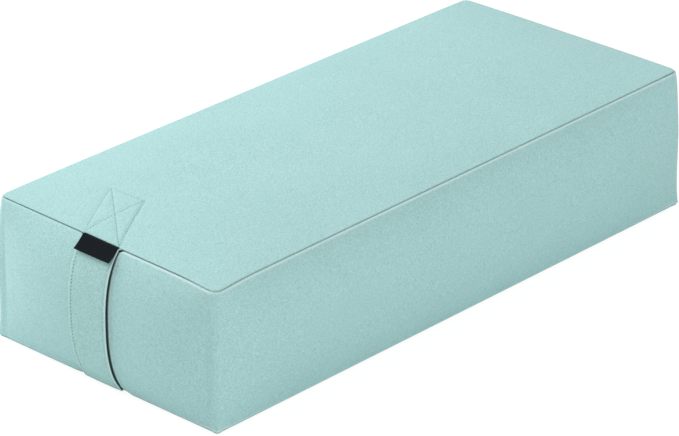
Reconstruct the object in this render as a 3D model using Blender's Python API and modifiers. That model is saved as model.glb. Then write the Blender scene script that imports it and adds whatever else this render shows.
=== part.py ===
"""Rectangular yoga bolster: a sewn cover with a zip and a carry handle, and the filling inside.

Metres, +Z up, origin at the bottom centre. X runs along the bolster. The labelled handle is at the -X end,
and the zip is on the +Y side.
"""

import math

import bmesh
import bpy
from mathutils import Vector

# Bolster: length and width over its corners, and how far each face swells beyond them
LENGTH = 0.711
WIDTH = 0.308
TOP_SEAM_HEIGHT = 0.157
TOP_CROWN = 0.012
SEAM_DRAW_IN = 0.0037
END_BULGE = 0.018
SIDE_BULGE = 0.015
ZIP_SIDE_BULGE = 0.010
CORNER_RADIUS = 0.009
BOTTOM_SEAM_HEIGHT = 0.003

# Cloth and sewing
CLOTH = 0.0012
SEAM_ALLOWANCE = 0.006
THREAD = 0.0007
GAP = 0.0003
JOIN_OVERRUN = 0.0005
WELD_DISTANCE = 0.000003

# Handle strap
STRAP_WIDTH = 0.050
STRAP_PLY = 0.00095
STRAP_LIFT = 0.0015
HANDLE_SHIFT = 0.002
EDGE_STITCH_INSET = 0.0035
TAIL_DEPTH = 0.079
LOWER_TAIL_DEPTH = 0.030
TAIL_TURN = 0.020
TAIL_LEAN_SHARE = 0.54
TAIL_LEAN_START = 0.003
SLOT_OVERRUN = 0.0005
TAIL_CLEARANCE = 0.0011
STITCH_BOX_DEPTH = 0.0765
STITCH_BOX_WIDTH = 0.0475
STITCH_BOX_INSET = 0.002
SEAM_SPREAD = 0.012

# Woven label over the strap
LABEL_WIDTH = 0.0485
LABEL_LENGTH = 0.0185
LABEL_THICKNESS = 0.0005
LABEL_FLARE = 0.0024

# Zip: every depth is measured in from the outer face of the cloth beside it
ZIP_BAY_MARGIN = 0.0555
ZIP_CHANNEL = 0.010
ZIP_HEM = 0.012
TAPE_END_GAP = 0.004
TAPE_WIDTH = 0.016
TAPE_THICKNESS = 0.0006
TAPE_END = 0.013
COIL_WIDTH = 0.0025
COIL_HEIGHT = 0.0015
COIL_EDGE_RADIUS = 0.0006
COIL_SPLIT = 0.0012
SLIDER_LENGTH = 0.015
SLIDER_PLATE = 0.001
SLIDER_RIM = 0.0008
SLIDER_EDGE_RADIUS = 0.0003
WEB_THICKNESS = 0.0006
WEB_LENGTH = 0.003
BRIDGE_LENGTH = 0.010
BRIDGE_WIDTH = 0.0024
BRIDGE_THICKNESS = 0.0009
PULLER_LENGTH = 0.026
PULLER_WIDTH = 0.0066
PULLER_THICKNESS = 0.001
PULLER_WINDOW_WIDTH = 0.0034
PULLER_CORNER = 0.0016
STOP_LENGTH = 0.004
STOP_HEIGHT = 0.0013

# Filling
LINER = 0.0006
BATTING = 0.012
FILLING_CLEARANCE = 0.0014
FILLING_EDGE_RADIUS = 0.032
LAYER_CLEARANCE = 0.0012
CORE_CLEARANCE = 0.0014
BATTING_CAP_DEPTH = 0.045
LINER_CAP_DEPTH = 0.038
CAP_DEPTHS = (BATTING_CAP_DEPTH, LINER_CAP_DEPTH)
ON_PLANE = 0.00001

# Counts, angles, and shares of the size that each one follows
CROWN_POWER_ALONG = 6
CROWN_POWER_ACROSS = 2.5
SHOULDER_POWER = 8
BULGE_POWER = 2.5
END_BULGE_POWER = 3
SIDE_BULGE_POWER = 6
PANEL_SHARES_ALONG = (0.95, 0.87, 0.75, 0.5, 0)
PANEL_SHARES_ACROSS = (0.8, 0.55, 0.28, 0)
SIDE_ROW_SHARES = (0.03, 0.08, 0.17, 0.32, 0.5, 0.68, 0.83, 0.92, 0.97)
LONG_SIDE_SHARES = (-0.92, -0.78, -0.5, 0, 0.5, 0.78, 0.92)
END_SIDE_SHARES = (-0.88, -0.65, -0.4, 0.4, 0.65, 0.88)
FAR_MIDDLE_SHARES = (-0.2, 0, 0.2)
ZIP_CORNER_SHARES = (0, 0.5)
STRAP_EDGE_SHARES = (-1, 0, 1)
CORNER_STEPS = 3
FOLD_STEPS = 4
BOW_SHARES = (0, 0.15, 0.3, 0.45, 0.6, 0.74, 0.86, 0.935)
BEND_STEPS = 5
TURN_SHARES = (0.25, 0.5, 0.75, 1)
TURN_START_REACH_SHARE = 0.15
TURN_END_REACH_SHARE = 0.4
TAIL_SHARES = (0.35, 0.7, 1)
STRAP_COLUMNS = 4
LABEL_BEND_SHARES = (1, 0.67, 0.33, 0)
LABEL_FALL_SHARES = (0.33, 0.67, 1)
UNDER_LABEL_SHARE = 0.6
STITCH_POINTS = 6
ROUND_LINE_SHARE = 1 - math.tan(math.radians(22.5))
SLOT_ANGLE = math.radians(135)
LABEL_TOP_ANGLE = math.radians(120)
FILL_SHARES_ALONG = (-0.82, -0.55, 0, 0.55, 0.82)
FILL_SHARES_ACROSS = (-0.6, 0, 0.6)
FILL_SHARES_UP = (-0.55, 0, 0.55)
ZIP_PLACKET_COLUMNS = 4

# Finishes: colour (linear), roughness, metallic
COVER_CLOTH = ((0.423, 0.644, 0.634), 0.9, 0)
HANDLE_CLOTH = ((0.392, 0.610, 0.600), 0.9, 0)
SEWING_THREAD = ((0.34, 0.55, 0.54), 0.7, 0)
LABEL_WEAVE = ((0.008, 0.012, 0.021), 0.8, 0)
TAPE_WEAVE = ((0.36, 0.57, 0.56), 0.85, 0)
COIL_NYLON = ((0.40, 0.62, 0.61), 0.45, 0)
SLIDER_METAL = ((0.55, 0.56, 0.57), 0.35, 1)
LINER_COTTON = ((0.80, 0.79, 0.76), 0.95, 0)
BATTING_FIBRE = ((0.88, 0.88, 0.87), 1, 0)
FOAM = ((0.82, 0.80, 0.70), 1, 0)

# Sizes that follow from those above
DIAGONAL = math.sqrt(0.5)
SEAM_HALF_LENGTH = LENGTH / 2 - SEAM_DRAW_IN
SEAM_HALF_WIDTH = WIDTH / 2 - SEAM_DRAW_IN
MID_HEIGHT = (TOP_SEAM_HEIGHT + BOTTOM_SEAM_HEIGHT) / 2
SIDE_HALF_HEIGHT = (TOP_SEAM_HEIGHT - BOTTOM_SEAM_HEIGHT) / 2
ALLOWANCE_RUN = SEAM_ALLOWANCE * DIAGONAL
STRAP = 2 * STRAP_PLY + GAP
SLOT = STRAP + GAP
ZIP_BAY = LENGTH - 2 * ZIP_BAY_MARGIN
TAPE_LENGTH = ZIP_BAY - 2 * TAPE_END_GAP
COIL_LENGTH = TAPE_LENGTH - 2 * TAPE_END
ZIP_FACE = SEAM_HALF_WIDTH + SEAM_DRAW_IN + ZIP_SIDE_BULGE
PLACKET_EDGE_SHARE = next(share for share in SIDE_ROW_SHARES if share > 0.5) * 2 - 1
HEM_SETBACK = ZIP_SIDE_BULGE * PLACKET_EDGE_SHARE**BULGE_POWER
TAPE_FACE = ZIP_FACE - HEM_SETBACK - 2 * CLOTH - 2 * GAP
TAPE_BACK = TAPE_FACE - TAPE_THICKNESS
COIL_BASE = TAPE_FACE + GAP
COIL_TOP = COIL_BASE + COIL_HEIGHT
SLIDER_WIDTH = COIL_SPLIT + 2 * (COIL_WIDTH + GAP + SLIDER_RIM)
SLIDER_OUTER_BASE = COIL_TOP + GAP
SLIDER_OUTER_TOP = SLIDER_OUTER_BASE + SLIDER_PLATE
SLIDER_INNER_TOP = TAPE_BACK - GAP
SLIDER_INNER_BASE = SLIDER_INNER_TOP - SLIDER_PLATE
PULLER_AXIS = SLIDER_OUTER_TOP + GAP + PULLER_THICKNESS / 2
BRIDGE_INSIDE = PULLER_AXIS + PULLER_THICKNESS / 2 + GAP
BRIDGE_TOP = BRIDGE_INSIDE + BRIDGE_THICKNESS
SLIDER_REST = COIL_LENGTH / 2 - SLIDER_LENGTH / 2
TAIL_STACK = CLOTH + TAIL_CLEARANCE + STRAP + FILLING_CLEARANCE
FILL_LOW = Vector(
    (
        -(LENGTH / 2 - CLOTH - FILLING_CLEARANCE),
        -(WIDTH / 2 - CLOTH - FILLING_CLEARANCE),
        TAIL_STACK,
    )
)
FILL_HIGH = Vector(
    (
        LENGTH / 2 - CLOTH - FILLING_CLEARANCE,
        SLIDER_INNER_BASE - FILLING_CLEARANCE - ZIP_SIDE_BULGE,
        TOP_SEAM_HEIGHT - TAIL_STACK,
    )
)
FILL_ROUND = Vector((FILLING_EDGE_RADIUS, FILLING_EDGE_RADIUS, FILLING_EDGE_RADIUS))
FILL_CORE_LOW = FILL_LOW + FILL_ROUND
FILL_CORE_HIGH = FILL_HIGH - FILL_ROUND


def start_scene():
    """Empties the scene and returns the collections for the parts and for the cutters."""
    for found in list(bpy.data.objects):
        bpy.data.objects.remove(found, do_unlink=True)
    parts = bpy.data.collections.new("rectangular_yoga_bolster")
    cutters = bpy.data.collections.new("cutters")
    for collection in (parts, cutters):
        bpy.context.scene.collection.children.link(collection)
    cutters.hide_render = True
    return parts, cutters


PARTS, CUTTERS = start_scene()


def add_object(name, mesh, finish, parent=None, location=(0, 0, 0)):
    """Puts a mesh in the scene as a named part with a material of its own."""
    colour, roughness, metallic = finish
    material = bpy.data.materials.new(name + "_material")
    material.use_nodes = True
    shader = material.node_tree.nodes["Principled BSDF"]
    shader.inputs["Base Color"].default_value = (*colour, 1)
    shader.inputs["Roughness"].default_value = roughness
    shader.inputs["Metallic"].default_value = metallic
    mesh.materials.clear()
    mesh.materials.append(material)
    made = bpy.data.objects.new(name, mesh)
    made.parent = parent
    made.location = location
    PARTS.objects.link(made)
    return made


def add_empty(name, location):
    """An empty that carries a group of parts."""
    made = bpy.data.objects.new(name, None)
    made.location = location
    PARTS.objects.link(made)
    return made


def add_modifier(made, kind, **settings):
    """Adds a modifier with these settings."""
    modifier = made.modifiers.new(kind.title(), kind)
    for key, value in settings.items():
        setattr(modifier, key, value)
    return modifier


def thicken(made, thickness):
    """Gives an open sheet its thickness, behind the side that its faces look to."""
    add_modifier(made, "SOLIDIFY", thickness=thickness, offset=-1, use_even_offset=True)


def mesh_of(name, bm):
    """Turns a bmesh into a mesh."""
    mesh = bpy.data.meshes.new(name)
    bm.to_mesh(mesh)
    bm.free()
    return mesh


def mapped_grid(columns, rows, place):
    """A grid whose point in column i and row j goes to place(i, j)."""
    bm = bmesh.new()
    bmesh.ops.create_grid(bm, x_segments=columns, y_segments=rows, size=1)
    for vertex in bm.verts:
        column = round((vertex.co.x + 1) / 2 * columns)
        row = round((vertex.co.y + 1) / 2 * rows)
        vertex.co = place(column, row)
    return bm


def smooth_step(share):
    """Rises from 0 to 1 without a corner at either end."""
    held = min(max(share, 0), 1)
    return held * held * (3 - 2 * held)


def block_mesh(name, low, high):
    """A box between two corners."""
    bm = bmesh.new()
    bmesh.ops.create_cube(bm, size=1)
    low, high = Vector(low), Vector(high)
    for vertex in bm.verts:
        vertex.co = (low + high) / 2 + vertex.co * (high - low)
    return mesh_of(name, bm)


def tube_mesh(name, points, thickness, cyclic=False):
    """A closed tube of thread through these points."""
    curve = bpy.data.curves.new(name, "CURVE")
    curve.dimensions = "3D"
    curve.bevel_depth = thickness / 2
    curve.bevel_resolution = 1
    curve.use_fill_caps = not cyclic
    spline = curve.splines.new("POLY")
    spline.points.add(len(points) - 1)
    for spline_point, point in zip(spline.points, points):
        spline_point.co = (*point, 1)
    spline.use_cyclic_u = cyclic
    guide = bpy.data.objects.new(name, curve)
    bpy.context.scene.collection.objects.link(guide)
    bpy.context.view_layer.update()
    graph = bpy.context.evaluated_depsgraph_get()
    mesh = bpy.data.meshes.new_from_object(guide.evaluated_get(graph))
    bm = bmesh.new()
    bm.from_mesh(mesh)
    bmesh.ops.remove_doubles(bm, verts=bm.verts, dist=WELD_DISTANCE)
    bmesh.ops.recalc_face_normals(bm, faces=bm.faces)
    bm.to_mesh(mesh)
    bm.free()
    bpy.data.objects.remove(guide, do_unlink=True)
    return mesh


def join_with(made, name, mesh, parent=None, location=(0, 0, 0)):
    """Joins another mesh to a part with a Boolean union."""
    cutter = bpy.data.objects.new(name, mesh)
    cutter.parent = parent
    cutter.location = location
    cutter.hide_render = True
    cutter.display_type = "WIRE"
    CUTTERS.objects.link(cutter)
    add_modifier(made, "BOOLEAN", operation="UNION", object=cutter)


# The cover's form
def top_height(x, y):
    """Height of the top panel's outer face: a gentle crown that falls to the seam all round."""
    along = max(1 - abs(x / SEAM_HALF_LENGTH) ** CROWN_POWER_ALONG, 0)
    across = max(1 - abs(y / SEAM_HALF_WIDTH) ** CROWN_POWER_ACROSS, 0)
    return TOP_SEAM_HEIGHT + TOP_CROWN * along * across


def rim_vector(x, y):
    """Plan vector to a point from the rectangle that lies one corner radius inside the rim."""
    inner_x = SEAM_HALF_LENGTH - CORNER_RADIUS
    inner_y = SEAM_HALF_WIDTH - CORNER_RADIUS
    return Vector(
        (
            math.copysign(max(abs(x) - inner_x, 0), x),
            math.copysign(max(abs(y) - inner_y, 0), y),
        )
    )


def bottom_height(x, y):
    """Height of the bottom panel's outer face: flat on the floor, and rolled up to the seam at its rim."""
    share = rim_vector(x, y).length / CORNER_RADIUS
    return BOTTOM_SEAM_HEIGHT * share**2


def round_corner(x, y):
    """Moves a point of the square-cornered grid so that its corner patch fills the corner's round."""
    vector = rim_vector(x, y) / CORNER_RADIUS
    if vector.x == 0 or vector.y == 0:
        return x, y
    turned_x = vector.x * math.sqrt(1 - vector.y**2 / 2)
    turned_y = vector.y * math.sqrt(1 - vector.x**2 / 2)
    return (
        x + (turned_x - vector.x) * CORNER_RADIUS,
        y + (turned_y - vector.y) * CORNER_RADIUS,
    )


def grid_lines(half, shares):
    """Places of a panel's grid lines: three at each corner round, and the shares between."""
    inner = half - CORNER_RADIUS
    places = [half, half - CORNER_RADIUS / 2] + [inner] + [inner * share for share in shares]
    return sorted({-place for place in places} | set(places))


def make_panel(name, height, sewn_side):
    """A top or bottom panel: crowned cloth with its seam allowance turned in all round."""
    lines_x = grid_lines(SEAM_HALF_LENGTH, PANEL_SHARES_ALONG)
    lines_y = grid_lines(SEAM_HALF_WIDTH, PANEL_SHARES_ACROSS)

    def place(column, row):
        x, y = round_corner(lines_x[column], lines_y[row])
        return x, y, height(x, y)

    bm = mapped_grid(len(lines_x) - 1, len(lines_y) - 1, place)
    rim = [edge for edge in bm.edges if edge.is_boundary]
    turned = bmesh.ops.extrude_edge_only(bm, edges=rim)["geom"]
    for vertex in [item for item in turned if isinstance(item, bmesh.types.BMVert)]:
        inward = -rim_vector(vertex.co.x, vertex.co.y).normalized()
        vertex.co.x += inward.x * ALLOWANCE_RUN
        vertex.co.y += inward.y * ALLOWANCE_RUN
        vertex.co.z -= sewn_side * ALLOWANCE_RUN
    if sewn_side < 0:
        bmesh.ops.reverse_faces(bm, faces=bm.faces)
    panel = add_object(name, mesh_of(name, bm), COVER_CLOTH)
    thicken(panel, CLOTH)
    return panel


def swell(height):
    """Share of a face's bulge that it has at this height."""
    share = abs((height - MID_HEIGHT) / SIDE_HALF_HEIGHT)
    return 1 - min(share, 1) ** BULGE_POWER


def stand_out(height, bulge):
    """How far a side stands out from its seams: a tight shoulder at each seam, and the bulge between."""
    share = abs((height - MID_HEIGHT) / SIDE_HALF_HEIGHT)
    return SEAM_DRAW_IN * (1 - min(share, 1) ** SHOULDER_POWER) + bulge * swell(height)


def end_bulge(y):
    """The bulge of either end at this distance from its middle."""
    share = min(abs(y) / (SEAM_HALF_WIDTH - CORNER_RADIUS), 1)
    return END_BULGE * (1 - share**END_BULGE_POWER)


def side_bulge(x):
    """The bulge of the long side without the zip."""
    share = min(abs(x) / (SEAM_HALF_LENGTH - CORNER_RADIUS), 1)
    return SIDE_BULGE * (1 - share**SIDE_BULGE_POWER)


def zip_side_bulge(x):
    """The bulge of the zip's side: even along the bay, and gone at the corners."""
    past_bay = (abs(x) - ZIP_BAY / 2) / (SEAM_HALF_LENGTH - CORNER_RADIUS - ZIP_BAY / 2)
    return ZIP_SIDE_BULGE * (1 - smooth_step(past_bay))


def seam_opening(y):
    """How far the near end's seams open at this place, to let the handle's strap in."""
    beyond = abs(y - HANDLE_SHIFT) - STRAP_WIDTH / 2 - GAP
    return SLOT * (1 - smooth_step(beyond / SEAM_SPREAD))


def strip_stations():
    """Places round the boxing strip: point on the seam line, outward direction, bulge, seam opening."""
    inner_x = SEAM_HALF_LENGTH - CORNER_RADIUS
    inner_y = SEAM_HALF_WIDTH - CORNER_RADIUS
    stations = []

    def straight(points, outward, bulge_at):
        for x, y in points:
            opening = seam_opening(y) if outward.x < 0 else 0
            bulge = bulge_at(y if outward.x else x)
            stations.append((Vector((x, y)), outward, bulge, opening))

    def corner(sign_x, sign_y, first_angle):
        for step in range(CORNER_STEPS + 1):
            angle = first_angle + math.pi / 2 * step / CORNER_STEPS
            outward = Vector((math.cos(angle), math.sin(angle)))
            middle = Vector((sign_x * inner_x, sign_y * inner_y))
            stations.append((middle + outward * CORNER_RADIUS, outward, 0, 0))

    def end_points(side, middle_places):
        places = [inner_y * share for share in END_SIDE_SHARES] + middle_places
        return [(side * SEAM_HALF_LENGTH, y) for y in sorted(places)]

    quarter = math.pi / 2
    bay_end = ZIP_BAY / 2
    beside_zip = [bay_end + (inner_x - bay_end) * share for share in ZIP_CORNER_SHARES]
    long_side = [(inner_x * share, -SEAM_HALF_WIDTH) for share in LONG_SIDE_SHARES]
    edge = STRAP_WIDTH / 2 + GAP
    beside_strap = [HANDLE_SHIFT + edge * share for share in STRAP_EDGE_SHARES]
    beside_strap += [HANDLE_SHIFT + side * (edge + SEAM_SPREAD) for side in (-1, 1)]
    far_middle = [inner_y * share for share in FAR_MIDDLE_SHARES]
    straight([(-x, SEAM_HALF_WIDTH) for x in beside_zip], Vector((0, 1)), zip_side_bulge)
    corner(-1, 1, quarter)
    straight(reversed(end_points(-1, beside_strap)), Vector((-1, 0)), end_bulge)
    corner(-1, -1, 2 * quarter)
    straight(long_side, Vector((0, -1)), side_bulge)
    corner(1, -1, 3 * quarter)
    straight(end_points(1, far_middle), Vector((1, 0)), end_bulge)
    corner(1, 1, 0)
    straight([(x, SEAM_HALF_WIDTH) for x in reversed(beside_zip)], Vector((0, 1)), zip_side_bulge)
    return stations


def side_rows(bulge, opening=0):
    """A side's section, bottom to top, as (outward, height) from the seam line, allowances included."""
    step = (GAP + opening) * DIAGONAL
    top = TOP_SEAM_HEIGHT - step
    bottom = BOTTOM_SEAM_HEIGHT + step
    rows = [(step - ALLOWANCE_RUN, bottom + ALLOWANCE_RUN), (step, bottom)]
    for share in SIDE_ROW_SHARES:
        height = BOTTOM_SEAM_HEIGHT + 2 * SIDE_HALF_HEIGHT * share
        rows.append((max(stand_out(height, bulge), GAP), height))
    rows += [(step, top), (step - ALLOWANCE_RUN, top - ALLOWANCE_RUN)]
    return rows


def make_boxing_strip():
    """The side cloth: one strip round the near end, the long side and the far end, up to the zip bay."""
    stations = strip_stations()

    def place(column, row):
        point, outward, bulge, opening = stations[column]
        out, height = side_rows(bulge, opening)[row]
        return (*(point + outward * out), height)

    rows = len(side_rows(0)) - 1
    bm = mapped_grid(len(stations) - 1, rows, place)
    strip = add_object("boxing_strip", mesh_of("boxing_strip", bm), COVER_CLOTH)
    thicken(strip, CLOTH)


# The zip side
def placket_section():
    """The upper placket's section as (y, height): allowance, seam, side, fold at the zip, and hem."""
    step = GAP * DIAGONAL
    seam = Vector((SEAM_HALF_WIDTH + step, TOP_SEAM_HEIGHT - step))
    section = [seam - Vector((ALLOWANCE_RUN, ALLOWANCE_RUN)), seam]
    for share in reversed(SIDE_ROW_SHARES):
        height = BOTTOM_SEAM_HEIGHT + 2 * SIDE_HALF_HEIGHT * share
        if height > MID_HEIGHT + ZIP_CHANNEL:
            out = max(stand_out(height, ZIP_SIDE_BULGE), GAP)
            section.append(Vector((SEAM_HALF_WIDTH + out, height)))
    fold_radius = CLOTH + GAP / 2
    fold = Vector((ZIP_FACE - fold_radius, MID_HEIGHT + ZIP_CHANNEL / 2 + fold_radius))
    for step_number in range(FOLD_STEPS + 1):
        angle = -math.pi * step_number / FOLD_STEPS
        section.append(fold + fold_radius * Vector((math.cos(angle), math.sin(angle))))
    section.append(fold + Vector((-fold_radius - HEM_SETBACK, ZIP_HEM)))
    return section


def make_placket(name, side):
    """The cloth above or below the zip, folded back along it."""
    section = placket_section()
    half = ZIP_BAY / 2 - GAP

    def place(column, row):
        y, height = section[row]
        x = half * (1 - 2 * column / ZIP_PLACKET_COLUMNS)
        return x, y, MID_HEIGHT + side * (height - MID_HEIGHT)

    bm = mapped_grid(ZIP_PLACKET_COLUMNS, len(section) - 1, place)
    if side > 0:
        bmesh.ops.reverse_faces(bm, faces=bm.faces)
    placket = add_object(name, mesh_of(name, bm), COVER_CLOTH)
    thicken(placket, CLOTH)


def make_zip_half(name, side):
    """One tape with its nylon coil."""
    inner = COIL_SPLIT / 2

    def spans(low, high):
        return sorted((MID_HEIGHT + side * low, MID_HEIGHT + side * high))

    low_z, high_z = spans(inner, inner + TAPE_WIDTH)
    tape_low = (-TAPE_LENGTH / 2, TAPE_BACK, low_z)
    tape_high = (TAPE_LENGTH / 2, TAPE_FACE, high_z)
    tape = name.format("tape")
    add_object(tape, block_mesh(tape, tape_low, tape_high), TAPE_WEAVE)
    low_z, high_z = spans(inner, inner + COIL_WIDTH)
    coil_low = (-COIL_LENGTH / 2, COIL_BASE, low_z)
    coil_high = (COIL_LENGTH / 2, COIL_TOP, high_z)
    coil = name.format("coil")
    made = add_object(coil, block_mesh(coil, coil_low, coil_high), COIL_NYLON)
    add_modifier(made, "BEVEL", width=COIL_EDGE_RADIUS, segments=2)


def make_stop(name, end, low, high):
    """A pressed metal stop beyond the coil's end, between two heights."""
    x = [end * (COIL_LENGTH / 2 + GAP), end * (COIL_LENGTH / 2 + GAP + STOP_LENGTH)]
    corner_low = (min(x), COIL_BASE, MID_HEIGHT + low)
    corner_high = (max(x), COIL_BASE + STOP_HEIGHT, MID_HEIGHT + high)
    made = add_object(name, block_mesh(name, corner_low, corner_high), SLIDER_METAL)
    add_modifier(made, "BEVEL", width=SLIDER_EDGE_RADIUS, segments=2)


def make_slider():
    """The zip's slider: a plate on each side of the tapes, a web between them, and the bridge."""
    half_length = SLIDER_LENGTH / 2
    half_width = SLIDER_WIDTH / 2
    half_bridge = BRIDGE_LENGTH / 2
    centre = Vector((SLIDER_REST, ZIP_FACE, MID_HEIGHT))

    def slab(name, x, y, z):
        low = Vector((x[0], y[0] - ZIP_FACE, z[0]))
        high = Vector((x[1], y[1] - ZIP_FACE, z[1]))
        return block_mesh(name, low, high)

    full_x = (-half_length, half_length)
    full_z = (-half_width, half_width)
    outer = slab("zip_slider", full_x, (SLIDER_OUTER_BASE, SLIDER_OUTER_TOP), full_z)
    slider = add_object("zip_slider", outer, SLIDER_METAL, location=centre)
    inner_y = (SLIDER_INNER_BASE, SLIDER_INNER_TOP)
    web_x = (half_length - WEB_LENGTH, half_length - SLIDER_RIM)
    web_y = (SLIDER_INNER_TOP - JOIN_OVERRUN, SLIDER_OUTER_BASE + JOIN_OVERRUN)
    web_z = (-WEB_THICKNESS / 2, WEB_THICKNESS / 2)
    joined = [("slider_inner_plate", full_x, inner_y, full_z), ("slider_web", web_x, web_y, web_z)]
    rim_y = (COIL_BASE, SLIDER_OUTER_BASE + JOIN_OVERRUN)
    for side, label in ((-1, "lower"), (1, "upper")):
        rim_z = sorted((side * half_width, side * (half_width - SLIDER_RIM)))
        rim_x = (-half_length + SLIDER_RIM, half_length - SLIDER_RIM)
        joined.append((f"slider_{label}_rim", rim_x, rim_y, rim_z))
    bridge_z = (-BRIDGE_WIDTH / 2, BRIDGE_WIDTH / 2)
    for side, label in ((-1, "rear"), (1, "front")):
        foot_x = sorted((side * half_bridge, side * (half_bridge - BRIDGE_THICKNESS)))
        foot_y = (SLIDER_OUTER_TOP - JOIN_OVERRUN, BRIDGE_INSIDE + JOIN_OVERRUN)
        joined.append((f"bridge_{label}_foot", foot_x, foot_y, bridge_z))
    bridge_x = (-half_bridge, half_bridge)
    joined.append(("bridge_bar", bridge_x, (BRIDGE_INSIDE, BRIDGE_TOP), bridge_z))
    for name, x, y, z in joined:
        join_with(slider, name, slab(name, x, y, z), location=centre)
    add_modifier(slider, "BEVEL", width=SLIDER_EDGE_RADIUS / 2, segments=1, limit_method="ANGLE")
    return slider


def rounded_outline(low, high, radius):
    """Corner points of a rectangle with round corners, anticlockwise."""
    points = []
    middles = (
        (high[0] - radius, high[1] - radius),
        (low[0] + radius, high[1] - radius),
        (low[0] + radius, low[1] + radius),
        (high[0] - radius, low[1] + radius),
    )
    for quarter, (x, y) in enumerate(middles):
        for step in range(CORNER_STEPS + 1):
            angle = math.pi / 2 * (quarter + step / CORNER_STEPS)
            points.append((x + radius * math.cos(angle), y + radius * math.sin(angle)))
    return points


def make_puller(slider):
    """The pull tab: a flat plate whose window goes round the bridge. Its origin is on its hinge."""
    bar = PULLER_THICKNESS / 2
    half_width = PULLER_WIDTH / 2
    half_window = PULLER_WINDOW_WIDTH / 2
    window_end = BRIDGE_LENGTH / 2 + GAP
    outer = rounded_outline((bar - PULLER_LENGTH, -half_width), (bar, half_width), PULLER_CORNER)
    inner = rounded_outline((-window_end - bar, -half_window), (-bar, half_window), bar)
    curve = bpy.data.curves.new("zip_puller", "CURVE")
    curve.dimensions = "2D"
    curve.fill_mode = "BOTH"
    curve.extrude = PULLER_THICKNESS / 2
    for outline in (outer, inner):
        spline = curve.splines.new("POLY")
        spline.points.add(len(outline) - 1)
        for spline_point, (x, y) in zip(spline.points, outline):
            spline_point.co = (x, y, 0, 1)
        spline.use_cyclic_u = True
    location = (0, PULLER_AXIS - ZIP_FACE, 0)
    puller = add_object("zip_puller", curve, SLIDER_METAL, parent=slider, location=location)
    puller.rotation_euler = (math.pi / 2, 0, 0)


# The handle, in the frame of the seam that it leaves: x runs inward, and z is height
def strap_bow(share):
    """How far the strap's outer face stands out from the seam plane, at this share of the half height."""
    height = MID_HEIGHT + SIDE_HALF_HEIGHT * share
    return stand_out(height, END_BULGE) + STRAP_LIFT * (1 - share**SHOULDER_POWER) + STRAP


def bend_point(radius, angle):
    """A point on the strap's bend over the top edge of the side cloth."""
    corner = (GAP + SLOT) * DIAGONAL
    middle = Vector((-corner, TOP_SEAM_HEIGHT - corner))
    return middle + radius * Vector((-math.cos(angle), math.sin(angle)))


def bow_angle():
    """Angle of the strap's face where the bow meets the bend."""
    upper, lower = BOW_SHARES[-1], BOW_SHARES[-2]
    return math.atan2(strap_bow(lower) - strap_bow(upper), SIDE_HALF_HEIGHT * (upper - lower))


def upper_route(tail_height, tail_depth):
    """The strap's middle line from half height to the end of its upper tail, as (inward, height) points."""
    route = []
    for share in BOW_SHARES:
        height = MID_HEIGHT + SIDE_HALF_HEIGHT * share
        route.append(Vector((STRAP / 2 - strap_bow(share), height)))
    radius = GAP + STRAP / 2
    for step in range(BEND_STEPS + 1):
        share = step / BEND_STEPS
        angle = bow_angle() + (SLOT_ANGLE - bow_angle()) * share
        route.append(bend_point(radius, angle))
    slope = Vector((DIAGONAL, -DIAGONAL))
    start = route[-1] + slope * (SEAM_ALLOWANCE + SLOT_OVERRUN)
    route.append(start)
    end = Vector((start.x + TAIL_TURN, tail_height(start.x + TAIL_TURN)))
    start_reach = start + slope * TAIL_TURN * TURN_START_REACH_SHARE
    end_reach = end - Vector((TAIL_TURN * TURN_END_REACH_SHARE, 0))
    for share in TURN_SHARES:
        rest = 1 - share
        point = start * rest**3 + start_reach * 3 * rest**2 * share
        point += end_reach * 3 * rest * share**2 + end * share**3
        route.append(point)
    for share in TAIL_SHARES:
        inward = end.x + (tail_depth - end.x) * share
        route.append(Vector((inward, tail_height(inward))))
    return route


def strap_route():
    """The whole strap's middle line, from its lower tail, out and up, to its upper tail."""
    offset = CLOTH + TAIL_CLEARANCE + STRAP / 2

    def upper(inward):
        return top_height(inward - SEAM_HALF_LENGTH, 0) - offset

    def lower(inward):
        panel = bottom_height(inward - SEAM_HALF_LENGTH, 0)
        return 2 * MID_HEIGHT - panel - offset

    above = upper_route(upper, TAIL_DEPTH)
    below = [
        Vector((point.x, 2 * MID_HEIGHT - point.y)) for point in upper_route(lower, LOWER_TAIL_DEPTH)
    ]
    return list(reversed(below))[:-1] + above


def offset_route(route, offset):
    """The route moved sideways, outward where offset is positive."""
    moved = []
    for number, point in enumerate(route):
        before = route[max(number - 1, 0)]
        after = route[min(number + 1, len(route) - 1)]
        first = (point - before).normalized() if point != before else (after - point).normalized()
        second = (after - point).normalized() if point != after else first
        along = (first + second).normalized()
        stretch = offset / max(along.dot(first), DIAGONAL)
        moved.append(point + Vector((-along.y, along.x)) * stretch)
    return moved


def tail_lean(inward, height):
    """How far the upper tail has leant towards +Y, at this distance inside the seam."""
    if height < MID_HEIGHT:
        return 0
    past_allowance = (inward - ALLOWANCE_RUN - GAP) / (TAIL_TURN / 2)
    return (TAIL_LEAN_SHARE * inward + TAIL_LEAN_START) * smooth_step(past_allowance)


def crown_drop(inward, y):
    """How much lower the top panel lies at y than on its middle line, past the tail's turn."""
    x = inward - SEAM_HALF_LENGTH
    return (top_height(x, 0) - top_height(x, y)) * smooth_step(inward / TAIL_TURN)


def strap_place(point, across):
    """Where a point of the route lies at this distance across the strap, in the handle's frame."""
    inward, height = point
    y = HANDLE_SHIFT + across + tail_lean(inward, height)
    drop = crown_drop(inward, y) if height > MID_HEIGHT and inward > 0 else 0
    return inward, y, height - drop


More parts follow.
